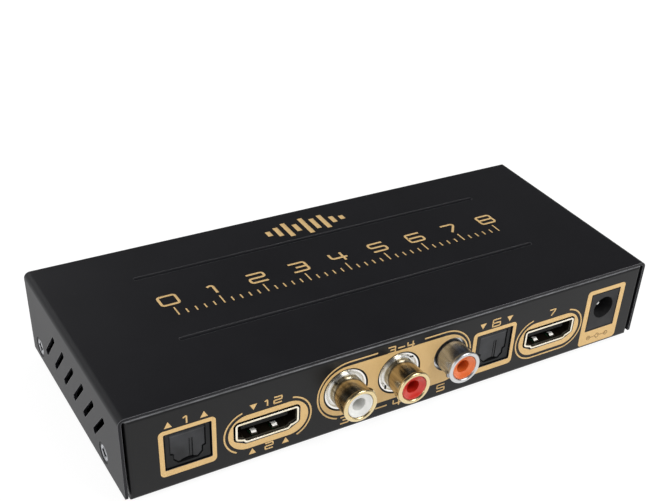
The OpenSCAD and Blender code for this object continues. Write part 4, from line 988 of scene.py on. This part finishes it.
# The row of level bars behind it: its first bar, its middle line, the step and width of a bar
BARS_U = -10.4
BARS_V = 22.0
BAR_STEP = 2.6
BAR_LINE = 1.3
BAR_HEIGHTS = (2.2, 4.2, 6.6, 3.4, 7.6, 5.0, 6.6, 3.0, 1.8)


def top_print():
    """A plain scale of figures and ticks, and a row of level bars."""
    digits, ticks, bars = [], [], []
    for number in range(SCALE_FIGURES):
        digits += figures(str(number), SCALE_U + SCALE_STEP*number, SCALE_FIGURE_V,
                          SCALE_FIGURE_H)
    for tick in range((SCALE_FIGURES - 1)*TICKS_PER_STEP + 1):
        u = SCALE_U + SCALE_STEP*tick/TICKS_PER_STEP
        tick_top = SHORT_TICK_TOP if tick % TICKS_PER_STEP else LONG_TICK_TOP
        ticks.append([(u, TICK_FOOT), (u, tick_top)])
    for i, height in enumerate(BAR_HEIGHTS):
        u = BARS_U + BAR_STEP*i
        bars.append([(u, BARS_V - height/2), (u, BARS_V + height/2)])
    return [printed_lines(digits, SCALE_FIGURE_LINE, SCALE_FIGURE_CORNER),
            printed_lines(ticks, TICK_LINE), printed_lines(bars, BAR_LINE)]


# The control print: its frames as width, height and corner radius, and the rings at the buttons
WINDOW_FRAME = (11.2, 7.8, 1.2)
WINDOW_OPENING = (8.5, 5.1, 1.0)
SLIDE_FRAME = (10.0, 6.0, 1.4)
BUTTON_RING_R = 3.7
CONTROL_LINE = 0.36
# Its figures: how far above the controls' middle line they stand, their height and their line
CONTROL_NUMBER_LIFT = 5.0
CONTROL_NUMBER_H = 1.5
CONTROL_NUMBER_LINE = 0.28
SLIDE_NUMBER_LIFT = 4.6
SLIDE_NUMBER_H = 1.1
SLIDE_STEP = 2.0
# The status lights: distance from the row's end to the first one's middle, pitch and number
LIGHT_INSET = 1.9
LIGHT_PITCH = 6.0
LIGHT_COUNT = 3
# The power sign: its ring's radius and height, the angles of the ring's ends, and its stroke
POWER_SIGN_R = 0.8
POWER_SIGN_LIFT = 5.7
POWER_SIGN_TURNS = (60, -240)
POWER_SIGN_H = 1.1


def power_sign(u, v):
    """A ring that is open at its top, with a stroke in the opening."""
    return [arc(u, v, POWER_SIGN_R, *POWER_SIGN_TURNS, SMALL_RING_STEPS),
            [(u, v), (u, v + POWER_SIGN_H)]]


def control_print():
    """Port-style frames, figures and a power sign beside the controls."""
    v = middle("source_button_cap", "Z") - UNDERSIDE_Z
    window_u, slide_u, power_u = (
        -middle(node, "X") for node in ("infrared_window", "slide_switch_knob", "power_light"))
    button_u = [-middle(name + "_button_cap", "X") for name in ("source", "mode")]
    first_light = LIGHT_INSET - reach("status_lights", 1, "X")
    light_u = [first_light + LIGHT_PITCH*i for i in range(LIGHT_COUNT)]
    window = printed_field(rounded_box(window_u, v, *WINDOW_FRAME),
                           [rounded_box(window_u, v, *WINDOW_OPENING)])
    slide_frame = rounded_box(slide_u, v, *SLIDE_FRAME)
    frames = [circle(u, v, BUTTON_RING_R) for u in button_u] + [slide_frame + slide_frame[:1]]
    strokes = power_sign(power_u, v + POWER_SIGN_LIFT)
    for number, u in enumerate(light_u + button_u, 1):
        strokes += figures(str(number), u, v + CONTROL_NUMBER_LIFT, CONTROL_NUMBER_H)
    for number in (1, 2, 3):
        strokes += figures(str(number), slide_u + SLIDE_STEP*(number - 2), v + SLIDE_NUMBER_LIFT,
                           SLIDE_NUMBER_H, NARROW_W_SHARE)
    return [window, printed_lines(frames, CONTROL_LINE),
            printed_lines(strokes, CONTROL_NUMBER_LINE, NUMBER_CORNER)]


printed_piece("port_face_print", port_print(), ON_PORTS)
printed_piece("top_print", top_print(), ON_TOP)
printed_piece("control_face_print", control_print(), ON_CONTROLS)


# Floor, world, lights and camera. From here on, places and sizes are in metres.

FLOOR_REACH = 4
PAPER = (0.94, 0.94, 0.94, 1)
PAPER_DUST = (0.9, 0.9, 0.9, 1)
# How strongly the floor glows, and the share of its light that is glow
GLOW = 1.12
GLOW_SHARE = 0.8
# Strength of the world's light, and of the dim ceiling, which comes in between two heights
AMBIENT = 0.55
CEILING = 0.04
CEILING_FROM = 0.04
CEILING_FULL = 0.3
LIGHT_TARGET = (0, 0, 0.01)
# Each lamp's name, place, width and height, and power in watts
LAMPS = (
    ("key", (0.30, -0.42, 0.52), (0.34, 0.34), 2.3),
    ("left_strip", (-0.55, -0.12, 0.24), (0.5, 0.2), 0.7),
    ("back_strip", (-0.25, 0.55, 0.35), (0.6, 0.16), 0.8),
)


def seen_plainly(nodes):
    """1 for rays from the camera, from a mirror or through glass."""
    rays = [nodes.node("ShaderNodeLightPath", output=name)
            for name in ("Is Camera Ray", "Is Glossy Ray", "Is Transmission Ray")]
    return nodes.between(rays[0] + rays[1] + rays[2], 0.0, 1.0)


def floor_finish():
    """White paper that takes a soft shadow, and glows where it is looked at."""
    made = Finish("studio_floor")
    dust = made.noise(40.0, detail=3.0)
    diffuse = made.node("ShaderNodeBsdfDiffuse", {}, {
        "Color": made.mixed(dust*0.2, PAPER, PAPER_DUST)})
    glow = made.node("ShaderNodeEmission", {}, {"Color": (1, 1, 1, 1), "Strength": GLOW})
    shader = made.node("ShaderNodeMixShader", {}, {
        0: GLOW_SHARE*seen_plainly(made), 1: diffuse, 2: glow})
    made.ended("ShaderNodeOutputMaterial", shader)
    return made.material


def studio_floor():
    plane = bpy.data.meshes.new("studio_floor")
    corners = [(a*FLOOR_REACH, b*FLOOR_REACH, 0) for a, b in ((-1, -1), (1, -1), (1, 1), (-1, 1))]
    plane.from_pydata(corners, [], [(0, 1, 2, 3)])
    plane.materials.append(floor_finish())
    floor = bpy.data.objects.new("studio_floor", plane)
    bpy.context.scene.collection.objects.link(floor)


def studio_world():
    """White all round, with a dim ceiling that only mirrors see."""
    world = bpy.data.worlds.new("studio")
    world.use_nodes = True
    bpy.context.scene.world = world
    sky = Nodes(world.node_tree)
    direction = sky.node("ShaderNodeTexCoord", output="Generated")
    height = sky.node("ShaderNodeSeparateXYZ", {}, {"Vector": direction}, "Z")
    mirror = sky.node("ShaderNodeLightPath", output="Is Glossy Ray")
    ceiling = sky.between(height, CEILING_FROM, CEILING_FULL)
    level = AMBIENT + seen_plainly(sky)*(1 - AMBIENT) - mirror*ceiling*(1 - CEILING)
    backdrop = sky.node("ShaderNodeBackground", {}, {"Color": (1, 1, 1, 1), "Strength": level})
    sky.ended("ShaderNodeOutputWorld", backdrop)


def softbox(name, place, size, power):
    """An area light that faces the object."""
    lamp = bpy.data.lights.new(name, "AREA")
    lamp.shape = "RECTANGLE"
    lamp.size, lamp.size_y = size
    lamp.energy = power
    holder = bpy.data.objects.new(name, lamp)
    aim = (Vector(LIGHT_TARGET) - Vector(place)).to_track_quat("-Z", "Y")
    holder.matrix_world = Matrix.Translation(place) @ aim.to_matrix().to_4x4()
    bpy.context.scene.collection.objects.link(holder)


studio_floor()
studio_world()
for light in LAMPS:
    softbox(*light)

# The photograph's camera, solved from the casing's corners: its picture size, focal length and
# the pixel that its axis goes through, its place, and its turn and tilt. The sensor's width is in
# millimetres, as lenses have it.
FRAME_W, FRAME_H = 657, 501
FOCAL_PX = 1071
AXIS_PX = (393.8, 377.7)
SENSOR_W = 36.0
CLIP_START = 0.005
CAMERA_PLACE = mm(-116.0, -184.925, 158.4)
AZIMUTH, ELEVATION, ROLL = (math.radians(angle) for angle in (-35.12, 37.21, 5.18))


def photograph_camera():
    back = Vector((math.sin(AZIMUTH)*math.cos(ELEVATION), -math.cos(AZIMUTH)*math.cos(ELEVATION),
                   math.sin(ELEVATION)))
    right = Vector((0, 0, 1)).cross(back).normalized()
    up = back.cross(right)
    rolled_right = right*math.cos(ROLL) + up*math.sin(ROLL)
    rolled_up = up*math.cos(ROLL) - right*math.sin(ROLL)
    lens = bpy.data.cameras.new("camera")
    lens.sensor_width = SENSOR_W
    lens.lens = FOCAL_PX/FRAME_W*SENSOR_W
    lens.shift_x = (FRAME_W/2 - AXIS_PX[0])/FRAME_W
    lens.shift_y = (AXIS_PX[1] - FRAME_H/2)/FRAME_W
    lens.clip_start = CLIP_START
    camera = bpy.data.objects.new("camera", lens)
    turn = Matrix((rolled_right, rolled_up, back)).transposed().to_4x4()
    camera.matrix_world = Matrix.Translation(CAMERA_PLACE) @ turn
    bpy.context.scene.collection.objects.link(camera)
    bpy.context.scene.camera = camera


photograph_camera()
bpy.context.scene.view_settings.view_transform = "Standard"
